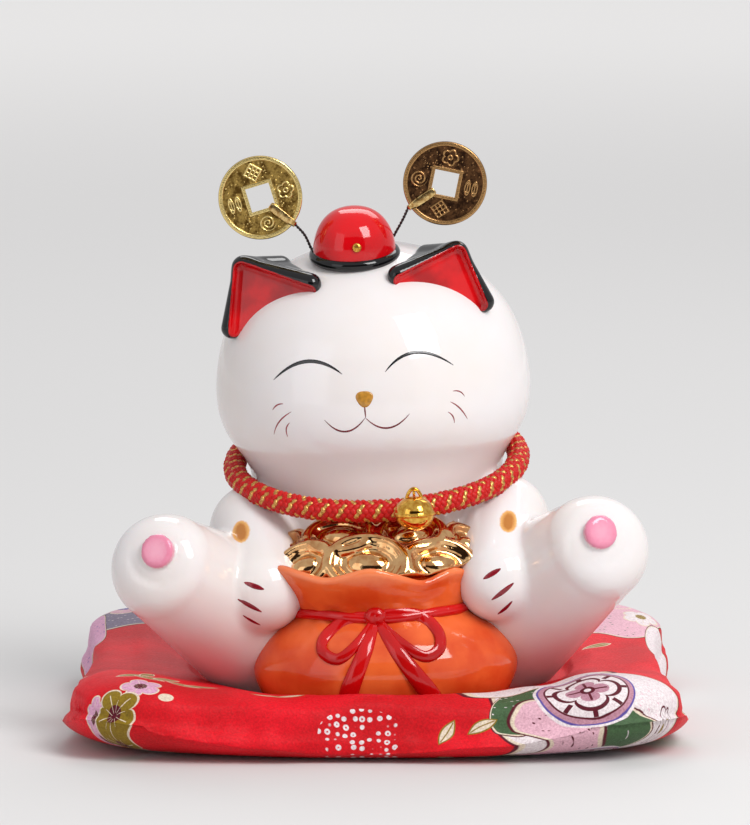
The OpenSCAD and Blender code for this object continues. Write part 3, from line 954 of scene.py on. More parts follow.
LEFT_LOOP = ((-2.6, 28.4), (-7, 28.4), (-12.4, 26.6), (-17.0, 23.0), (-17.4, 19.6), (-13.2, 17.8),
             (-8, 21.4), (-2.6, 27.2))
RIGHT_LOOP = ((-1.8, 28.6), (3.2, 29.2), (10.4, 27.8), (15.2, 23.6), (15.4, 19.4), (11.2, 17.6),
              (5.2, 21.2), (-1.6, 27.2))
LEFT_TAIL = ((-2.6, 27.0), (-5.0, 21.0), (-8.0, 14.6), (-10.2, 9.4), (-11.4, 4.8))
RIGHT_TAIL = ((-1.4, 26.6), (2.6, 20.6), (6.8, 14.8), (10.6, 9.4), (13.4, 5.2))
LOOP_WIDTHS, TAIL_WIDTHS = (1.2, 1.6, 1.8, 1.8, 1.8, 1.7, 1.5, 1.2), (1.5, 2.1, 2.5, 2.8, 2.8)
bow = [bow_strip(spots, LOOP_WIDTHS) for spots in (LEFT_LOOP, RIGHT_LOOP)]
bow += [bow_strip(spots, TAIL_WIDTHS, 0.3) for spots in (LEFT_TAIL, RIGHT_TAIL)]


def bow_knot(p):
    at = on_bag(-2.2, BAG_NECK_Z + 0.2, 1.0)
    lump = ball(p, at, (3.1, 2.0, 2.7))
    fold = limb(p, at + [-1.0, -2.1, -2.2], at + [-0.4, -2.1, 2.4], 0.35, 0.3)
    return cut(lump, fold, 0.6)


bow.append(skin(bow_knot, (-7, -30, 23), (4, -15, 35), 0.4))
piece("bag_bow_glazed", *gather(bow), ribbon_glaze, place=bag_place, stands_for=("bag_bow",),
      slot="red_glaze")

# %% [markdown]
# ## The heap of gold
# The heap is cast in one piece: oval ingots that overlap, each with a raised rim and a raised
# lens in the middle, all covered in gold lustre. They are blended distances again, cut from the
# same mould, each turned to lie its own way.

# %% Gold heap
def ingot(p, centre, half, tip, roll, spin):
    """A tilted oval with a sunken field inside a sharp rim and a lens-shaped boss."""
    turn = (Matrix.Rotation(math.radians(tip), 3, "X") @ Matrix.Rotation(math.radians(roll), 3, "Y")
            @ Matrix.Rotation(math.radians(spin), 3, "Z"))
    q = turned(p, centre, turn)
    x, y, z = q[..., 0] / half[0], q[..., 1] / half[1], q[..., 2]
    ring = np.hypot(x, y)
    reach = (ring - 1) * min(half[0], half[1])
    body = np.hypot(np.maximum(reach + 1.6, 0), np.maximum(np.abs(z) - 1.2, 0)) - 1.6
    dip = np.hypot(np.maximum(reach + 3.2, 0), np.minimum(z - 2.9, 0)) - 1.1
    form = cut(body, dip, 0.5)
    eye = (np.hypot(x / 0.52, y / 0.46) - 1) * min(half) * 0.46
    form = cut(form, np.hypot(eye, z - 1.9) - 0.95, 0.5)
    return join(form, ball(q, (0, 0, 1.2), (half[0] * 0.4, half[1] * 0.34, 1.7)), 0.5)


INGOTS = (
    ((-3.5, -51.0, 42.6), (13.0, 9.4), 56, -6, -10), ((-21.5, -46.0, 41.4), (10.6, 8.2), 52, -24, 16),
    ((16.4, -48.5, 41.2), (12.2, 8.6), 52, 20, 8), ((8.8, -43.0, 49.0), (11.2, 8), 34, 8, 20),
    ((-10.8, -42.5, 49.2), (11.4, 8), 34, -12, -18), ((-26.0, -37.0, 44.0), (8.8, 7.4), 30, -38, 30),
    ((24.6, -38.5, 44.4), (8.8, 7.4), 32, 36, -26), ((0.4, -35.5, 51.8), (10.4, 8), 16, 4, 4),
    ((-16.5, -33.0, 49.0), (9, 7), 14, -24, 22), ((16.5, -33.5, 49.2), (9, 7), 16, 24, -18))


def heap_form(p):
    form = ball(p, (-0.5, -31, 36), (27.5, 20.5, 12.5))
    for centre, half, tip, roll, spin in INGOTS:
        form = join(form, ingot(p, centre, half, tip, roll, spin), 0.5)
    # inside the ruffle the heap stays clear of its wall, and above the rim it may lean out
    inside = np.hypot(p[..., 0] - BAG_AT[0] - RUFFLE_SHIFT, (p[..., 1] - BAG_AT[1]) / BAG_SQUASH)
    kept = np.maximum(form, inside - 26.8 - np.maximum(p[..., 2] - 38.5, 0) * 1.6)
    return np.maximum(kept, 32.5 - p[..., 2])


gold_lustre = Finish("gold_lustre", Metallic=1.0, Coat_Weight=0.3, Coat_Roughness=0.05)
where = gold_lustre.place()
worn = gold_lustre.noise(where, 0.35, 4.0)
gold_lustre.set(Base_Color=worn.ease(0.35, 0.75).tint(rgb(238, 190, 132), rgb(206, 140, 84)),
                Roughness=worn * 0.1 + 0.03)
gold_lustre.bump(gold_lustre.noise(where, 0.8, 3.0), 0.3, 0.15)
heap_points, heap_quads = skin(heap_form, (-40, -64, 31.5), (40, -6, 59), 0.5)
piece("gold_heap_lustre", heap_points, heap_quads, gold_lustre, stands_for=("gold_heap",),
      slot="gold_lustre")

# %% [markdown]
# ## The braided collar
# The collar is a round braid: six strands wind one way round a core and six the other way,
# and each goes over one and under the next. A strand is a tube on a circle round the cord's
# middle, and a cosine moves it in and out, in opposite time for the two ways. A few strands each
# way are gold, and where they cross they draw a chain of small chevrons.

# %% Collar braid
CORD_RX, CORD_FRONT, CORD_BACK, CORD_Z, CORD_RISE = 41, -44, 41, 56.9, 17


def cord_middle(t):
    """The cord's middle line in the cat's own place; t is 0 in front and grows to +X."""
    y = (CORD_FRONT + CORD_BACK) / 2 - np.cos(t) * (CORD_BACK - CORD_FRONT) / 2
    return np.stack([CORD_RX * np.sin(t), y, CORD_Z + CORD_RISE * (1 - np.cos(t)) / 2], -1)


samples = cord_middle(np.linspace(0, 2 * math.pi, 721))
cord_length = np.linalg.norm(np.diff(samples, axis=0), axis=1).sum()
BRAID_R, STRANDS, STRAND_R, OVER = 2.45, 6, 0.86, 0.42
BRAID_TURNS = 26
STEPS = BRAID_TURNS * 24
print("collar length", round(cord_length, 1), "mm")


def strand(number, way, thick=STRAND_R):
    t = np.arange(STEPS) * 2 * np.pi / STEPS
    middle = cord_middle(t)
    ahead = np.roll(middle, -1, 0) - np.roll(middle, 1, 0)
    ahead /= np.linalg.norm(ahead, axis=1)[:, None]
    out = middle * [1, 1, 0] - [0, (CORD_FRONT + CORD_BACK) / 2, 0]
    out -= ahead * (out * ahead).sum(1)[:, None]
    out /= np.linalg.norm(out, axis=1)[:, None]
    up = np.cross(ahead, out)
    angle = way * BRAID_TURNS * t + (number - 0.12) * 2 * np.pi / STRANDS
    # the two ways meet 2 * STRANDS times a turn, and swap over and under at each meeting
    weave = np.cos(STRANDS * BRAID_TURNS * t) * way
    r = BRAID_R + OVER * weave
    ring = out * np.cos(angle)[:, None] + up * np.sin(angle)[:, None]
    return tube(middle + ring * r[:, None], thick, 8, 0.62, True, ring)


def braid_finish(name, red, green, blue, rough=0.42):
    made = Finish(name, Specular_IOR_Level=0.35)
    fibre = made.noise(made.place(), 3.5, 3.0, 0.7)
    deep = tuple(value * 0.55 for value in rgb(red, green, blue)[:3]) + (1,)
    made.set(Base_Color=fibre.ease(0.3, 0.75).tint(rgb(red, green, blue), deep),
             Roughness=fibre * 0.3 + rough)
    made.bump(fibre, 0.5, 0.15)
    return made


cord_red = braid_finish("cord_red", 214, 12, 6, 0.3)
cord_core = braid_finish("cord_core", 150, 8, 8, 0.7)
cord_gold = Finish("cord_gold", Metallic=0.85, Roughness=0.36)
glint = cord_gold.noise(cord_gold.place(), 4.0, 2.0)
cord_gold.set(Base_Color=glint.ease(0.3, 0.7).tint(rgb(240, 196, 116), rgb(176, 116, 48)))
cord_gold.bump(glint, 0.5, 0.1)

GOLD_STRANDS, GOLD_R = (0, 3), 0.66
red_parts = [strand(n, way) for way in (1, -1) for n in range(STRANDS) if n not in GOLD_STRANDS]
gold_parts = [strand(n, way, GOLD_R) for way in (1, -1) for n in GOLD_STRANDS]
core = tube(cord_middle(np.arange(160) * 2 * np.pi / 160), 2.15, 14, 1.0, True)
piece("collar_core", *core, cord_core, slot="braided_cord", stands_for=("collar_cord",))
piece("collar_red_strands", *gather(red_parts), cord_red, slot="braided_cord")
piece("collar_gold_strands", *gather(gold_parts), cord_gold, slot="bell_gold")

# %% [markdown]
# Behind the neck the cord is knotted and its two ends hang down, each whipped and frayed into a
# short tassel.

# %% Knot and tassels behind the neck
def twisted(path, radius, plies=3, turns_per_mm=0.16):
    """A cord laid up from plies that twist round each other."""
    path = np.array(path)
    run = np.concatenate([[0], np.cumsum(np.linalg.norm(np.diff(path, axis=0), axis=1))])
    ahead = np.gradient(path, axis=0)
    ahead /= np.linalg.norm(ahead, axis=1)[:, None]
    side = np.cross(ahead, [0.3, 0.9, 0.1])
    side /= np.linalg.norm(side, axis=1)[:, None]
    other = np.cross(ahead, side)
    made = []
    for ply in range(plies):
        a = run * turns_per_mm * 2 * np.pi + ply * 2 * np.pi / plies
        made.append(tube(path + (side * np.cos(a)[:, None] + other * np.sin(a)[:, None]) * radius * 0.5,
                         radius * 0.58, 8))
    return made


back = cord_middle(np.array([math.pi]))[0]
KNOT = ((-9, -0.2, -0.4), (-5, 2.8, 0.8), (-0.5, 4.6, 2.6), (3.6, 3.6, 0.2), (1.2, 4.6, -3.0),
        (-3.2, 4.4, -1.2), (-1.6, 3.4, 2.4), (3.4, 2.4, 2.4), (8.5, 0, 0.2))
knot_parts = twisted(catmull(back + np.array(KNOT), 10), 2.0)
TAIL_ENDS = (((-0.8, 3.6, -2), (-3.0, 5.4, -6), (-5.2, 6.4, -11)),
             ((1.0, 3.6, -2), (3.4, 5.2, -5.6), (5.4, 6.2, -10)))
tassels = []
rng = random.Random(7)
for spots in TAIL_ENDS:
    line = catmull(back + np.array(spots), 8)
    knot_parts += twisted(line, 1.7)
    end, down = line[-1], (line[-1] - line[-2]) / np.linalg.norm(line[-1] - line[-2])
    for _ in range(34):
        spread_way = np.array([rng.uniform(-1, 1), rng.uniform(-0.6, 0.6), rng.uniform(-0.3, 0.3)])
        root = end + spread_way * 0.9
        bend = root + down * 2.5 + spread_way * 0.7
        frayed = root + down * rng.uniform(4, 5.2) + spread_way * 1.3
        tassels.append(tube([root, bend, frayed], [0.22, 0.2, 0.1], 5))
piece("collar_knot_twist", *gather(knot_parts), cord_red, stands_for=("collar_knot",),
      slot="braided_cord")
piece("collar_tassels", *gather(tassels), cord_red, slot="braided_cord")

# %% [markdown]
# ## The bell
# The bell is two thin pressed halves rolled together at the middle, with a slot between two
# drilled holes underneath and a soldered wire eye on top. It swings on its own body.

# %% Bell
BELL_AT, BELL_R, BELL_FLAT, EYE_UP = (10.4, -52.9, 57.1), 5.6, 0.88, 5.9
bell_place = CAT @ Matrix.Translation(Vector(BELL_AT) * MM)


def bell_form(p):
    ball_out = ball(p, (0, 0, 0), (BELL_R, BELL_R, BELL_R * BELL_FLAT))
    shell = np.maximum(ball_out, -ball(p, (0, 0, 0), (BELL_R - 0.5, BELL_R - 0.5, BELL_R * BELL_FLAT - 0.5)))
    around = np.hypot(p[..., 0], p[..., 1])
    seam = np.hypot(around - BELL_R, p[..., 2] * 0.8) - 0.34
    shell = join(shell, seam, 0.25)
    groove = np.hypot(around - BELL_R - 0.3, p[..., 2]) - 0.12
    shell = cut(shell, groove, 0.1)
    slot = np.maximum(np.hypot(p[..., 1], np.maximum(np.abs(p[..., 0]) - 4, 0)) - 0.42, p[..., 2] + 1)
    ends = np.maximum(np.hypot(np.abs(p[..., 0]) - 4, p[..., 1]) - 0.95, p[..., 2] + 1)
    return cut(shell, np.minimum(slot, ends), 0.15)


bell_gold = Finish("bell_gold", Metallic=1.0)
scuff = bell_gold.noise(bell_gold.place(), 0.8, 4.0)
bell_gold.set(Base_Color=scuff.ease(0.3, 0.75).tint(rgb(246, 196, 92), rgb(206, 138, 44)),
              Roughness=scuff * 0.14 + 0.03)
bell_gold.bump(scuff, 0.12, 0.08)
reach = BELL_R + 0.8
bell_points, bell_quads = skin(bell_form, (-reach,) * 3, (reach,) * 3, 0.2)
piece("bell_shell", bell_points, bell_quads, bell_gold, body="bell", place=bell_place,
      stands_for=("bell_upper", "bell_lower"), slot="bell_gold")
eye_line = catmull([(-2.0, 0, 3.6), (-1.9, 0, 5.0), (-1.0, 0, 6.5), (0, 0, 7.0), (1.0, 0, 6.5), (1.9, 0, 5.0),
                    (2.0, 0, 3.6)], 6)
piece("bell_wire_eye", *tube(eye_line, 0.55, 10), bell_gold, body="bell", place=bell_place,
      stands_for=("bell_eye",), slot="bell_gold")
staple_line = [(0, -1.9, 1.0), (0, -2.0, 0.2), (0, -1.4, -0.2), (0, 0, -0.2), (0, 3.6, -0.2),
               (0, 7, -2), (0, 10.6, -4)]
staple = np.array(staple_line) + [BELL_AT[0], BELL_AT[1], BELL_AT[2] + EYE_UP]
piece("bell_staple", *tube(catmull(staple, 4), 0.4, 8), bell_gold, stands_for=("bell_hanger",),
      slot="bell_gold")
pellet_steel = Finish("pellet_steel", Metallic=1.0, Roughness=0.3)
grain = pellet_steel.noise(pellet_steel.place(), 2.0, 3.0)
pellet_steel.set(Base_Color=grain.ease(0.3, 0.7).tint(rgb(176, 176, 180), rgb(120, 120, 126)))

# %% [markdown]
# ## The coins
# The coins are cast brass with a square hole, a rim round the edge and one round the hole, and a
# sunken field between them. Four raised ornaments stand in the field, over a ground of small
# punched dots. The relief is real geometry: a fine grid from the hole to the edge is raised by
# a height made from flat shapes. The height is stored too, so that the tops can be brighter.

# %% Flat shapes of the coin's relief
COIN_R, COIN_HALF, HOLE_HALF, FIELD_DEEP = 12.0, 0.8, 3.5, 0.36
ORNAMENT = 1.22


def raised(distance, high, soft=0.16):
    t = np.clip(0.5 - distance / soft, 0, 1)
    return high * t * t * (3 - 2 * t)


def blossom_line(x, y):
    turn, r = np.arctan2(y, x), np.hypot(x, y)
    petal = np.abs(r - 1.35 - 0.55 * np.abs(np.cos(2.5 * turn))) - 0.2
    return np.minimum(petal, np.abs(r - 0.5) - 0.17)


def coil_line(x, y):
    turn, r = np.arctan2(y, x), np.hypot(x, y)
    swirl = np.abs((r - turn / (2 * np.pi) * 0.85) % 0.85 - 0.42) - 0.19
    return np.maximum(swirl, r - 1.95)


def leaf_line(x, y):
    side = np.abs(x) - 0.85
    blade = np.abs(np.hypot(side * 1.5, y * 0.55) - 0.85) - 0.2
    return np.minimum(blade, np.maximum(np.abs(side) - 0.15, np.abs(y) - 1.2))


def lattice_line(x, y):
    a, b = x + y, x - y
    bars = np.minimum(np.abs(a % 1.35 - 0.67), np.abs(b % 1.35 - 0.67)) / 1.41 - 0.15
    edge = np.abs(x) + np.abs(y) - 2.2
    return np.minimum(np.maximum(bars, edge), np.abs(edge) - 0.17)


ORNAMENTS = (blossom_line, coil_line, leaf_line, lattice_line)


def coin_height(x, y, order, dots):
    r, box = np.hypot(x, y), np.maximum(np.abs(x), np.abs(y))
    height = raised(10.75 - r, FIELD_DEEP, 0.3) + raised(box - HOLE_HALF - 1.0, FIELD_DEEP, 0.25)
    for dx, dy, radius in dots:
        height = np.maximum(height, raised(np.hypot(x - dx, y - dy) - radius, 0.16, 0.2))
    for k, which in enumerate(order):
        a = k * np.pi / 2
        cx, cy = 7.55 * np.sin(a), 7.55 * np.cos(a)
        near = ORNAMENTS[which]((x - cx) / ORNAMENT, (y - cy) / ORNAMENT) * ORNAMENT
        clear = np.hypot(x - cx, y - cy) < 2.4 * ORNAMENT
        height = np.where(clear, raised(near, FIELD_DEEP * 0.95), height)
    edge = np.clip((r - COIN_R + 0.35) / 0.35, 0, 1)
    return height - FIELD_DEEP - 0.3 * edge ** 2


def coin_mesh(order, seed):
    """A coin in its own XY plane, its face towards +Z, and the height stored for its finish."""
    rows, cols = ((62, 400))
    pick = random.Random(seed)
    dots = []
    while len(dots) < 150:
        a, r = pick.uniform(0, 2 * math.pi), pick.uniform(4.8, 10.4)
        dots.append((r * math.cos(a), r * math.sin(a), pick.uniform(0.14, 0.26)))
    a = (np.arange(cols) + 0.5) * 2 * np.pi / cols
    unit = np.stack([np.cos(a), np.sin(a)], 1)
    inner = unit * (HOLE_HALF / np.abs(unit).max(1))[:, None]
    grid = inner[None] + (unit * COIN_R - inner)[None] * np.linspace(0, 1, rows)[:, None, None]
    x, y = grid[..., 0], grid[..., 1]
    front = coin_height(x, y, order, dots)
    rear = coin_height(-x, y, order[::-1], dots)
    points = np.concatenate([np.stack([x, y, COIN_HALF + front], -1),
                             np.stack([x, y, -COIN_HALF - rear], -1)])
    height = np.concatenate([front, rear]).ravel() + FIELD_DEEP
    sheet = rows * cols
    i, j = np.meshgrid(np.arange(rows - 1), np.arange(cols), indexing="ij")
    k = (j + 1) % cols
    face = np.stack([i * cols + j, (i + 1) * cols + j, (i + 1) * cols + k, i * cols + k], -1).reshape(-1, 4)
    edge = []
    for row, flip in ((0, False), (rows - 1, True)):
        for j in range(cols):
            k = (j + 1) % cols
            quad = [row * cols + j, row * cols + k, sheet + row * cols + k, sheet + row * cols + j]
            edge.append(quad[::-1] if flip else quad)
    return points.reshape(-1, 3), face.tolist() + (face[:, ::-1] + sheet).tolist() + edge, {"relief": height}


def coin_finish(name, bright, field, dark, shine):
    made = Finish(name, Metallic=1.0)
    relief, where = made.stored("relief"), made.place()
    grime = made.noise(where, 0.45, 4.0)
    top = (relief + (grime - 0.5) * 0.22).ease(0.06, 0.26)
    low = (grime + made.noise(where, 1.6, 3.0) * 0.5 - 0.25).ease(0.32, 0.68).tint(field, dark)
    made.set(Base_Color=top.tint(low, bright), Roughness=top * (shine - 0.42) + 0.42)
    made.bump(made.noise(where, 2.2, 3.0), 0.4, 0.1)
    return made


coin_brass = coin_finish("coin_brass", rgb(238, 212, 140), rgb(184, 152, 82), rgb(98, 72, 30), 0.2)
coin_bronze = coin_finish("coin_bronze", rgb(184, 142, 92), rgb(104, 72, 46), rgb(50, 32, 22), 0.24)

# %% [markdown]
# Each coin hangs from a small brass strip, folded over the coin from its rim to the corner of the
# hole and crimped round the end of a twisted wire. Wire and coin are separate bodies: the wire
# sways at the hat and the coin nods at the crimp.

# %% Coins, clips and wires
COINS = {
    "left": ((-29.8, -13, 144.3), -14.5, (-20, -13, 135.9), (-16.1, -9, 128.8), coin_brass,
             (3, 0, 1, 2), 11),
    "right": ((23.1, -13, 146.1), 14, (12.15, -13, 139.3), (7.9, -9, 131.4), coin_bronze,
              (0, 2, 3, 1), 12)}
clip_brass = Finish("clip_brass", Metallic=1.0, Roughness=0.24)
tarnish = clip_brass.noise(clip_brass.place(), 0.9, 4.0)
clip_brass.set(Base_Color=tarnish.ease(0.35, 0.7).tint(rgb(236, 206, 142), rgb(168, 124, 66)))
clip_brass.bump(tarnish, 0.3, 0.12)
spring_steel = Finish("spring_steel", Metallic=0.9)
dull = spring_steel.noise(spring_steel.place(), 2.5, 3.0)
spring_steel.set(Base_Color=dull.ease(0.3, 0.7).tint(rgb(96, 92, 92), rgb(48, 46, 48)),
                 Roughness=dull * 0.3 + 0.3)


CLIP_SIDES = 12


def clip_mesh(centre, end):
    """A folded strip that tapers from the crimp to the hole's corner, over both faces."""
    centre, end = np.array(centre, float), np.array(end, float)
    way = (centre - end) / np.linalg.norm(centre - end)
    across = np.cross(way, [0, 1, 0])
    long = np.linalg.norm(centre - end) - HOLE_HALF * 1.02
    # along the strip, half its width, and how far off the coin's middle its two sides are
    stations = [(0.55, 0.72, 0.5, 0.95), (1.6, 1.0, 0.6, 1.15), (2.6, 1.15, 1.0, 1.35),
                (long * 0.55, 1.3, 0.98, 1.42), (long * 0.88, 1.25, 0.96, 1.38), (long, 0.8, 0.94, 1.2)]
    parts = []
    for face in (-1, 1):
        path = [end + way * s + np.array([0, face * (near + far) / 2, 0]) for s, _, near, far in stations]
        width = [w for _, w, _, _ in stations]
        thick = [(far - near) / 2 for _, _, near, far in stations]
        line = catmull(path, 6)
        fine, coarse = np.linspace(0, 1, len(line)), np.linspace(0, 1, len(path))
        half = np.interp(fine, coarse, width)
        crown = np.interp(fine, coarse, thick)
        ring = []
        for p, w, h in zip(line, half, crown):
            for k in range(CLIP_SIDES):
                a = k * 2 * math.pi / CLIP_SIDES
                ring.append(p + across * w * math.cos(a) * 0.98 + np.array([0, h * math.sin(a), 0]))
        faces = wrapped_grid(len(line), CLIP_SIDES)
        last = (len(line) - 1) * CLIP_SIDES
        faces += [list(range(CLIP_SIDES - 1, -1, -1)), [last + k for k in range(CLIP_SIDES)]]
        parts.append((np.array(ring), faces))
    parts.append(tube([end + way * 0.2, end + way * 1.8], 0.85, 14))
    return gather(parts)


for side, (centre, turn, end, base, metal, order, seed) in COINS.items():
    face_on = Matrix.Rotation(math.radians(turn), 4, "Y") @ Matrix.Rotation(math.radians(90), 4, "X")
    points, faces, height = coin_mesh(order, seed)
    piece(side + "_coin_struck", points, faces, metal, body=side + "_coin", stored=height,
          place=CAT @ Matrix.Translation(Vector(centre) * MM) @ face_on, stands_for=(side + "_coin",),
          slot="coin_brass" if side == "left" else "coin_bronze")
    piece(side + "_clip_folded", *clip_mesh(centre, end), clip_brass, body=side + "_coin",
          stands_for=(side + "_clip",), slot="clip_brass")
    start, stop = np.array(base), np.array(end)
    bow_out = (start + stop) / 2 + [0.4, 0, 0.4]
    inside_hat, inside_crimp = start - (bow_out - start) * 0.2, stop + (stop - bow_out) * 0.12
    wire_line = catmull([inside_hat, start, bow_out, stop, inside_crimp], 12)
    piece(side + "_wire_twisted", *gather(twisted(wire_line, 0.42, 2, 0.45)), spring_steel,
          body=side + "_wire", stands_for=(side + "_wire",), slot="spring_steel")

# %% [markdown]
# ## The cushion
# The cushion is a stuffed square of printed crepe. It is pressed flat under the cat and the bag,
# and swells at its edges and corners. A slightly smaller pillow is remeshed evenly and blown up
# by a cloth simulation, but pressure alone swells it too far, so each point may move only a few
# millimetres. The height of the top then comes mostly from a formula, and the simulation is left
# with the smaller part of the shape.

# %% The pillow before it is blown up
CUSHION_HALF, CUSHION_H = (90, 84), 24
# the pressed hollow: its depth and the circles under the cat and under its bag
SEAT_Z, SEAT_R, PRESS_R, CAT_X, TORSO_Y, BAG_Y = 9, 52.5, 34, 3.3, 3, -34
# the top is lowest at DISH_Y and reaches its full height at REACH; EDGE is where it starts to roll over
DISH_Y, REACH, SEAM_Z, EDGE, SQUARENESS = -5, 104, 8, 0.87, 6
FRONT_SWELL, FRONT_WIDE = 3.2, 50
CORNER_SWELL, CORNER_X, CORNER_WIDE = 3.6, 70, 20


def plan_radius(turn):
    across = (np.abs(np.cos(turn)) / CUSHION_HALF[0]) ** SQUARENESS
    along = (np.abs(np.sin(turn)) / CUSHION_HALF[1]) ** SQUARENESS
    return (across + along) ** (-1 / SQUARENESS)


def past_hollow(x, y):
    """How far a point is outside the pressed hollow."""
    return np.minimum(np.hypot(x - CAT_X, y - TORSO_Y) - SEAT_R, np.hypot(x - CAT_X, y - BAG_Y) - PRESS_R)


def top_height(x, y):
    """How high the cushion may stand, pressed under the leaning cat and under its bag."""
    past = past_hollow(x, y)
    seat = SEAT_Z + (x - CAT_X) * math.tan(LEAN)
    rise = SEAT_Z + (CUSHION_H - SEAT_Z) * (np.hypot(x, y - DISH_Y) / REACH) ** 2
    rise = rise + FRONT_SWELL * np.exp(-(x / FRONT_WIDE) ** 2) * np.clip((-y - 50) / 20, 0, 1)
    corner = np.exp(-((np.abs(x) - CORNER_X) / CORNER_WIDE) ** 2) * np.clip((-y - 30) / 25, 0, 1)
    rise = rise + CORNER_SWELL * corner
    return np.where(past < 0, seat, np.minimum(seat + 1.3 * past, np.maximum(seat, rise)))


def seam_height(turn):
    """The seam is low along the sides and climbs to the lifted corners."""
    return SEAM_Z + 5 * np.abs(np.sin(2 * turn)) ** 5


def rolled(rim, edge):
    """1 inside the edge and falling to 0 at the rim, as a quarter circle does."""
    return np.sqrt(1 - np.maximum(0, (rim - edge) / (1 - edge)) ** 2)


def side_height(x, y, upper, inset=0.0):
    """Height of the outside of the pillow, above the seam or below it."""
    turn = np.arctan2(y, x)
    rim = np.clip(np.hypot(x, y) / (plan_radius(turn) - inset), 0, 1)
    edge = EDGE - 0.09 * np.abs(np.sin(2 * turn)) ** 3
    seam = seam_height(turn)
    if upper:
        return seam + (top_height(x, y) - inset - seam) * rolled(rim, edge)
    return seam - (seam - inset) * rolled(rim, edge - 0.07)


def pillow_mesh(inset, around=120):
    outs = np.concatenate([np.linspace(0.04, EDGE, 14),
                           EDGE + (1 - EDGE) * np.sin(np.linspace(0.2, np.pi / 2, 8))])
    turn = np.arange(around) * 2 * np.pi / around
    rings = []
    for upper in (True, False):
        for f in outs if upper else outs[-2::-1]:
            r = (plan_radius(turn) - inset) * f
            x, y = r * np.cos(turn), r * np.sin(turn)
            z = side_height(x, y, upper, inset)
            rings.append(np.stack([x, y, z], 1))
    points = np.vstack(rings + [np.array([[0, 0, SEAT_Z - inset], [0, 0, inset]])])
    n = len(rings)
    faces = [[a, d, c, b] for a, b, c, d in wrapped_grid(n, around)]
    faces += [[n * around, j, (j + 1) % around] for j in range(around)]
    last = (n - 1) * around
    faces += [[n * around + 1, last + (j + 1) % around, last + j] for j in range(around)]
    return points, faces


# %% Cloth simulation
VOXEL, PRESSURE, FRAMES, MOST = 4.2, 4.0, 20, 6.0


def apply_all(thing):
    """Turn a piece's modifiers into its mesh."""
    graph = bpy.context.evaluated_depsgraph_get()
    done = bpy.data.meshes.new_from_object(thing.evaluated_get(graph))
    thing.modifiers.clear()
    thing.data = done


def coordinates(thing):
    flat = np.empty(len(thing.data.vertices) * 3)
    thing.data.vertices.foreach_get("co", flat)
    return flat.reshape(-1, 3)


def blown_pillow():
    points, faces = pillow_mesh(0.5)
    mesh = bpy.data.meshes.new("pillow")
    mesh.from_pydata((points * MM).tolist(), [], faces)
    pillow = bpy.data.objects.new("pillow", mesh)
    bpy.context.collection.objects.link(pillow)
    remesh = pillow.modifiers.new("even", "REMESH")
    remesh.mode = "VOXEL"
    remesh.voxel_size = VOXEL * MM
    apply_all(pillow)
    before = coordinates(pillow)
    cloth = pillow.modifiers.new("cloth", "CLOTH")
    cloth.settings.use_pressure = True
    cloth.settings.uniform_pressure_force = PRESSURE
    cloth.settings.effector_weights.gravity = 0
    cloth.settings.quality = 5
    cloth.settings.tension_stiffness = 15
    cloth.settings.bending_stiffness = 0.4
    cloth.point_cache.frame_start, cloth.point_cache.frame_end = 1, FRAMES
    for frame_number in range(1, FRAMES + 1):
        bpy.context.scene.frame_set(frame_number)
    apply_all(pillow)
    bpy.context.scene.frame_set(1)
    after = coordinates(pillow)
    moved = after - before
    far = np.linalg.norm(moved, axis=1)
    moved *= np.minimum(1, MOST * MM / np.maximum(far, 1e-9))[:, None]
    print("cloth wanted to move", round(float(far.mean() / MM), 2), "mm on average, held to", MOST)
    pillow.data.vertices.foreach_set("co", (before + moved).ravel())
    smooth = pillow.modifiers.new("smooth", "SUBSURF")
    smooth.levels = smooth.render_levels = 2
    apply_all(pillow)
    places = coordinates(pillow) / MM
    quads = [list(face.vertices) for face in pillow.data.polygons]
    bpy.data.objects.remove(pillow)
    return places, quads


pillow_points, pillow_quads = blown_pillow()
print("pillow", len(pillow_points), "points")

# %% [markdown]
# Blown cloth is too even. Sewn fabric is held at its seam, so short puckers run in from it, and
# the weight of the cat pulls long folds out towards the corners. Both are added as small moves
# along the surface, and then every point is held above the table and under the cat.

# %% Seam, puckers and folds
def wave_noise(p, scale, seed):
    """Cheap smooth noise: a few seeded waves in different directions."""
    pick = np.random.default_rng(seed)
    total = 0
    for _ in range(7):
        way = pick.normal(size=3)
        way /= np.linalg.norm(way)
        length = scale * pick.uniform(0.6, 1.7)
        total = total + np.sin(p @ way * 2 * np.pi / length + pick.uniform(0, 6.3))
    return total / 7 ** 0.5


# how far the top is moved from the simulated height to the formula's
TO_FORMULA = 0.75


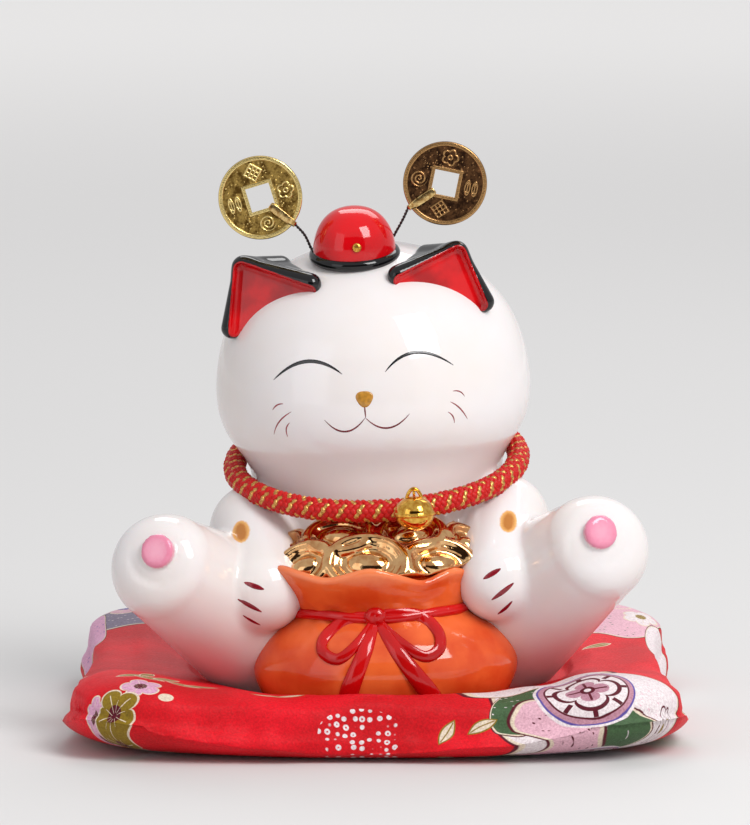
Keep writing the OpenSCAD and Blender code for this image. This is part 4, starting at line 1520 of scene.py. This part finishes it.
def finish_pillow(p):
    p = p.copy()
    p[:, :2] *= 0.99 * np.array(CUSHION_HALF) / np.abs(p[:, :2]).max(0)
    turn = np.arctan2(p[:, 1], p[:, 0])
    reach = np.hypot(p[:, 0], p[:, 1])
    rim = reach / plan_radius(turn)
    seam_z = seam_height(turn)
    over = np.clip((p[:, 2] - seam_z) / 1.5, 0, 1)
    wanted = side_height(p[:, 0], p[:, 1], True)
    p[:, 2] += TO_FORMULA * (wanted - p[:, 2]) * over
    outward = np.stack([np.cos(turn), np.sin(turn), 0 * turn], 1)
    edge = np.clip((rim - 0.8) / 0.2, 0, 1)
    pull = np.exp(-((p[:, 2] - seam_z) / 0.9) ** 2) * edge
    p -= outward * (0.9 * pull)[:, None]
    pucker = np.sin(turn * 46 + 2 * wave_noise(p, 30, 3)) * np.exp(-((p[:, 2] - seam_z) / 4.5) ** 2) * edge
    p += outward * (0.28 * pucker)[:, None]
    # long folds run from the pressed hollow to the edge, stronger near the front
    fold = np.sin(turn * 15 + 2.2 * wave_noise(p, 60, 5)) * np.clip((rim - 0.6) / 0.25, 0, 1)
    upper = np.clip((p[:, 2] - SEAM_Z) / 6, 0, 1)
    front = 0.45 + 0.55 * np.clip(-p[:, 1] / 60, 0, 1)
    p[:, 2] += 0.6 * fold * upper * front + 0.4 * wave_noise(p, 44, 8) * upper
    p += outward * (0.5 * wave_noise(p, 26, 9) * edge)[:, None]
    # the sides pull in between the corners
    p[:, 0] *= 1 - 0.05 * np.exp(-((p[:, 1] - 12) / 38) ** 2) * np.clip(rim * 2 - 1, 0, 1)
    past = past_hollow(p[:, 0], p[:, 1])
    room = top_height(p[:, 0], p[:, 1]) + np.clip(past * 0.25, -0.05, 2.5)
    lift = 0.02 + 0.9 * side_height(p[:, 0], p[:, 1], False)
    p[:, 2] = np.clip(p[:, 2], np.minimum(lift, seam_z), room)
    return p


cushion_points = finish_pillow(pillow_points)
print("cushion box", cushion_points.min(0).round(1), cushion_points.max(0).round(1))

# %% [markdown]
# The print was made on flat cloth, so the mesh stores flat coordinates: straight down on top,
# and unrolled over the edge, where height is counted as more width. The print's motifs are then
# drawn with shader maths in those coordinates, in millimetres.

# %% Flat print coordinates
def unrolled(p):
    turn = np.arctan2(p[:, 1], p[:, 0])
    rim = np.hypot(p[:, 0], p[:, 1]) / plan_radius(turn)
    drop = np.clip(CUSHION_H + 2.3 - p[:, 2], 0, None) * np.clip((rim - 0.72) / 0.2, 0, 1)
    sideways = np.abs(p[:, 0]) / CUSHION_HALF[0]
    forwards = np.abs(p[:, 1]) / CUSHION_HALF[1]
    share = sideways ** 12 / (sideways ** 12 + forwards ** 12 + 1e-9)
    u = p[:, 0] + np.sign(p[:, 0]) * drop * share
    v = p[:, 1] + np.sign(p[:, 1]) * drop * (1 - share)
    return np.stack([u, v, 0 * u], 1)


class Print:
    """A printed cloth: flat motifs laid one over another on a ground colour."""

    def __init__(self, finish, ground):
        self.finish, self.colour = finish, ground
        self.u, self.v, _ = finish.stored_vector("print").split()

    def at(self, x, y, turn=0.0):
        """Flat coordinates that start at a motif's centre and turn with it."""
        c, s = math.cos(math.radians(turn)), math.sin(math.radians(turn))
        a, b = self.u - x, self.v - y
        return a * c + b * s, b * c - a * s

    def lay(self, inside, colour, soft=0.12):
        """Print a colour where inside, a distance in millimetres, is below zero."""
        self.colour = inside.ease(-soft, soft).tint(colour, self.colour)

    def polar(self, x, y, turn=0.0):
        a, b = self.at(x, y, turn)
        return (a * a + b * b).power(0.5), self.finish.start.maths("ARCTAN2", b, a)

    def blossom(self, x, y, size, petal, line, heart, turn=90.0, petals=5):
        r, angle = self.polar(x, y, turn)
        lobe = abs((angle * (petals / 2)).cos()).power(0.55) * (0.34 * size) + 0.66 * size
        self.lay(r - lobe, line)
        self.lay(r - lobe + 0.05 * size + 0.25, petal)
        vein = abs((angle * (petals / 2)).sin()) * r - 0.045 * size
        self.lay(vein.high(r - 0.72 * size).high(0.34 * size - r), line)
        self.lay(r - 0.3 * size, heart)
        ray = abs((angle * petals).sin()) * r - 0.035 * size
        self.lay(ray.high(r - 0.46 * size).high(0.12 * size - r), line)

    def leaf(self, x, y, length, width, colour, line, turn):
        a, b = self.at(x, y, turn)
        blade = abs(b) - (1 - (a * (1 / length)).power(2.0)) * width
        self.lay(blade, line)
        self.lay(blade + 0.45, colour)
        self.lay((abs(b) - 0.18).high(abs(a) - 0.8 * length), line)

    def rings(self, x, y, size, colour):
        """A fan of small knotted rings, as in tie-dyed cloth."""
        a, b = self.at(x, y)
        cell = self.finish.start.node("ShaderNodeCombineXYZ", i0=a, i1=b, i2=0.0)
        spot = self.finish.start.node("ShaderNodeTexVoronoi", 0, Vector=cell, Scale=0.42, Randomness=0.45)
        fan = (a * a + b * b * 2.2).power(0.5) - size
        self.lay((abs(spot - 0.24) - 0.11).high(fan), colour, 0.05)

    def medallion(self, x, y, size, disc, line, band, ornament):
        r, angle = self.polar(x, y, 12)
        petal = abs((angle * 2).cos()).power(0.6)
        self.lay(r - size - 0.9, PALE)
        self.lay(r - size, line)
        self.lay(r - size + 0.6, band)
        self.lay(r - 0.86 * size, ornament)
        self.lay(r - 0.82 * size, disc)
        ray = abs((angle * 4).sin()) * r - 0.2 * size
        self.lay(ray.high(r - 0.82 * size).high(0.6 * size - r), ornament)
        self.lay(r - (petal * (0.24 * size) + 0.46 * size), ornament)
        self.lay(r - (petal * (0.22 * size) + 0.38 * size), disc)
        self.lay(r - (petal * (0.22 * size) + 0.22 * size), band)
        self.lay((abs((angle * 2).sin()) * r - 0.05 * size).high(r - 0.4 * size), ornament)
        self.lay(r - 0.15 * size, ornament)
        self.lay(r - 0.07 * size, disc)


print("print helpers ready")

# %% Printed crepe
CLOTH_RED, CLOTH_DEEP = rgb(242, 4, 32), rgb(212, 0, 18)
CREAM, OLIVE, MAROON, LILAC = rgb(240, 226, 200), rgb(150, 124, 28), rgb(96, 10, 34), rgb(232, 176, 208)
LEAF_GREEN, PINK, VIOLET = rgb(72, 104, 66), rgb(238, 190, 204), rgb(98, 84, 168)
PALE, GREY = rgb(244, 236, 236), rgb(138, 128, 150)
crepe = Finish("printed_crepe", Specular_IOR_Level=0.25)
where = crepe.place()
ground = crepe.noise(where, 0.045, 2.0).ease(0.3, 0.7).tint(CLOTH_RED, CLOTH_DEEP)
cloth_print = Print(crepe, ground)


def fleck_panel(x, y, half_x, half_y, turn, fill, line):
    """A soft-cornered panel with an outline, filled with flecks of pale colour."""
    a, b = cloth_print.at(x, y, turn)
    box = ((a * (1 / half_x)).power(4.0) + (b * (1 / half_y)).power(4.0)).power(0.25) * half_y - half_y
    cloth_print.lay(box - 1.1, MAROON)
    cloth_print.lay(box - 0.6, CREAM)
    cloth_print.lay(box, fill)
    cell = crepe.start.node("ShaderNodeCombineXYZ", i0=a, i1=b * 2.2, i2=0.0)
    fleck = crepe.start.node("ShaderNodeTexVoronoi", 0, Vector=cell, Scale=0.32)
    cloth_print.lay((fleck - 0.16).high(box + 0.6), line, 0.04)


# panels: x, y, half width, half height, turn in degrees, fill and flecks
for panel in ((66, -84, 32, 19, 6, PALE, PINK), (42, -82, 7, 17, -16, LEAF_GREEN, PALE),
              (77, -96, 16, 7, 10, LEAF_GREEN, PALE), (51, -96, 12, 6, -24, PINK, MAROON),
              (46, -69, 20, 5, 22, PALE, GREY), (-76, 66, 24, 24, 20, GREY, PALE),
              (-96, 44, 10, 18, 0, LILAC, VIOLET), (-60, 84, 16, 5, 24, PALE, VIOLET),
              (74, 58, 20, 24, -16, PINK, LEAF_GREEN), (98, 30, 10, 18, 4, PALE, PINK)):
    fleck_panel(*panel)
cloth_print.medallion(59.5, -82.5, 14.5, PALE, VIOLET, rgb(198, 146, 162), MAROON)
# blossoms: x, y, size, petals, outline, heart, turn in degrees
for flower in ((91, -82, 5.5, PALE, MAROON, OLIVE, 20), (-66, -79.5, 6.6, LILAC, CREAM, MAROON, 100),
               (-84, -84, 6, LILAC, CREAM, MAROON, 60), (-75, -89, 9.4, OLIVE, CREAM, MAROON, 96),
               (-78, 66, 11, PINK, CREAM, VIOLET, 40), (72, 72, 12, PINK, CREAM, OLIVE, 10),
               (84, 52, 8, PALE, CREAM, OLIVE, 70), (-100, -30, 9, LILAC, CREAM, MAROON, 30),
               (102, -46, 9, OLIVE, CREAM, MAROON, 50), (-102, 8, 7, OLIVE, CREAM, MAROON, 10),
               (12, 99, 10, OLIVE, CREAM, MAROON, 84), (24, 92, 7, LILAC, CREAM, OLIVE, 40),
               (-30, 78, 8, PALE, CREAM, OLIVE, 10)):
    cloth_print.blossom(*flower)
dot_r, _ = cloth_print.polar(-58.5, -86)
cloth_print.lay(dot_r - 2.2, CREAM)
cloth_print.medallion(-44, 98, 13, PALE, VIOLET, PINK, MAROON)
# leaves: a spray on the left, cream ones in front, and loose ones round the sides
for x, y, turn in ((-70, -66, 20), (-64, -68, -20), (-59, -65, 40), (-54, -69, -10), (-65, -62, 70),
                   (-49, -67, 15)):
    cloth_print.leaf(x, y, 5.2, 2.1, OLIVE, CREAM, turn)
for x, y, turn in ((-24, -76, 12), (-31, -74, -24), (2, -77, -8), (20, -98, 62), (30, -96, 28)):
    cloth_print.leaf(x, y, 4.8, 1.9, CREAM, OLIVE, turn)
for x, y, turn in ((58, 97, 20), (50, 92, -30), (-8, 96, 60), (100, -10, 84), (-98, 22, 70),
                   (-100, -52, 110), (66, 20, 30)):
    cloth_print.leaf(x, y, 6.5, 2.2, OLIVE, CREAM, turn)
for x, y in ((-4, -98), (48, 84)):
    cloth_print.rings(x, y, 12, PALE)

# %% Crepe weave and the cushion itself
crinkle = crepe.noise(where * (1.0, 1.6, 1.0), 1.5, 3.0, 0.65)
soft_folds = crepe.noise(where, 0.16, 2.0)
grain_tone = crinkle.ease(0.25, 0.75).tint(rgb(255, 255, 255), rgb(216, 204, 208))
crepe.set(Base_Color=cloth_print.colour * grain_tone, Roughness=crinkle * 0.2 + 0.42)
crepe.bump(crinkle + soft_folds * 1.6, 0.55, 0.35)
cushion = piece("crepe_cushion", cushion_points, pillow_quads, crepe, body="cushion", place=WORLD,
                stands_for=("cushion_top", "cushion_bottom", "cushion_filling"), slot="floral_cotton",
                stored={"print": unrolled(cushion_points)})

# %% [markdown]
# ## Pieces kept from the frame
# The rubber stopper under the cat and the loose pellet inside the bell have the right shape
# already. They only get their finishes.

# %% Finishes of the kept pieces
rubber = Finish("stopper_rubber", Roughness=0.6)
dusty = rubber.noise(rubber.place(), 0.5, 4.0)
rubber.set(Base_Color=dusty.ease(0.3, 0.75).tint(rgb(52, 52, 54), rgb(82, 80, 78)))
rubber.bump(dusty, 0.3, 0.2)
for node, finish in (("base_stopper", rubber), ("bell_pellet", pellet_steel)):
    for part in frame["nodes"][node].material_slots:
        part.material = finish.material
print("kept", "base_stopper", "bell_pellet")

# %% [markdown]
# ## Floor and light
# The floor is one wide pale disc, so that no edge shows from the front and nothing stands in the
# way when the figurine is looked at from behind. A large soft box high on the right is the key
# light, a weak one fills from the left, and one behind draws the outline. A dark card behind the
# camera gives the glaze and the gold something deep to reflect.

# %% Floor, lights and world
FLOOR_R, FLOOR_Z, FLOOR_SIDES = 9.0, -0.0001, 96
floor_ring = [i * 2 * math.pi / FLOOR_SIDES for i in range(FLOOR_SIDES)]
floor_mesh = bpy.data.meshes.new("floor")
floor_mesh.from_pydata([(FLOOR_R * math.cos(a), FLOOR_R * math.sin(a), FLOOR_Z) for a in floor_ring], [],
                       [list(range(FLOOR_SIDES))])
floor = bpy.data.objects.new("floor", floor_mesh)
bpy.context.collection.objects.link(floor)
paper = Finish("floor_paper", Base_Color=rgb(214, 213, 212), Roughness=0.9, Specular_IOR_Level=0.1,
               Emission_Strength=1.0)
# far from the lights the paper glows a little, so that it stays as pale as it is near the cushion
far = paper.place().length().ease(500, 2600)
paper.set(Emission_Color=far.tint(rgb(0, 0, 0), rgb(168, 167, 166)))
floor_mesh.materials.append(paper.material)


def soft_box(name, spot, aim, size, power, colour=(1, 1, 1), shine=1.0):
    light = bpy.data.lights.new(name, "AREA")
    light.shape = "RECTANGLE"
    light.size, light.size_y = size
    light.energy, light.color = power, colour
    light.specular_factor = shine
    box = bpy.data.objects.new(name, light)
    box.location = spot
    box.rotation_euler = (Vector(aim) - Vector(spot)).to_track_quat("-Z", "Y").to_euler()
    bpy.context.collection.objects.link(box)
    print(name, power, "W")
    return box


soft_box("key", (0.62, -0.75, 0.95), (0, 0, 0.08), (0.5, 0.7), 12)
soft_box("fill", (-0.9, -0.9, 0.45), (0, 0, 0.07), (0.6, 0.9), 1.3, (0.97, 0.97, 1), 0.15)
soft_box("back", (0.2, 0.9, 1.1), (0, 0, 0.08), (1.2, 0.5), 6)
card_mesh = bpy.data.meshes.new("dark_card")
CARD_Y, CARD_W, CARD_LOW, CARD_HIGH = -2.6, 1.5, -0.6, 1.5
card_corners = [(x, CARD_Y, z) for z in (CARD_LOW, CARD_HIGH) for x in (-CARD_W, CARD_W)]
card_mesh.from_pydata(card_corners, [], [[0, 1, 3, 2]])
card = bpy.data.objects.new("dark_card", card_mesh)
bpy.context.collection.objects.link(card)
card.visible_camera = card.visible_diffuse = card.visible_shadow = False
felt = Finish("card_felt", Base_Color=rgb(60, 52, 50), Roughness=0.95, Specular_IOR_Level=0.0)
card_mesh.materials.append(felt.material)
world = bpy.data.worlds.new("sky")
world.use_nodes = True
sky = world.node_tree.nodes["Background"]
sky.inputs["Color"].default_value = rgb(246, 246, 248)
sky.inputs["Strength"].default_value = 0.62
bpy.context.scene.world = world
bpy.context.scene.view_settings.view_transform = "Standard"
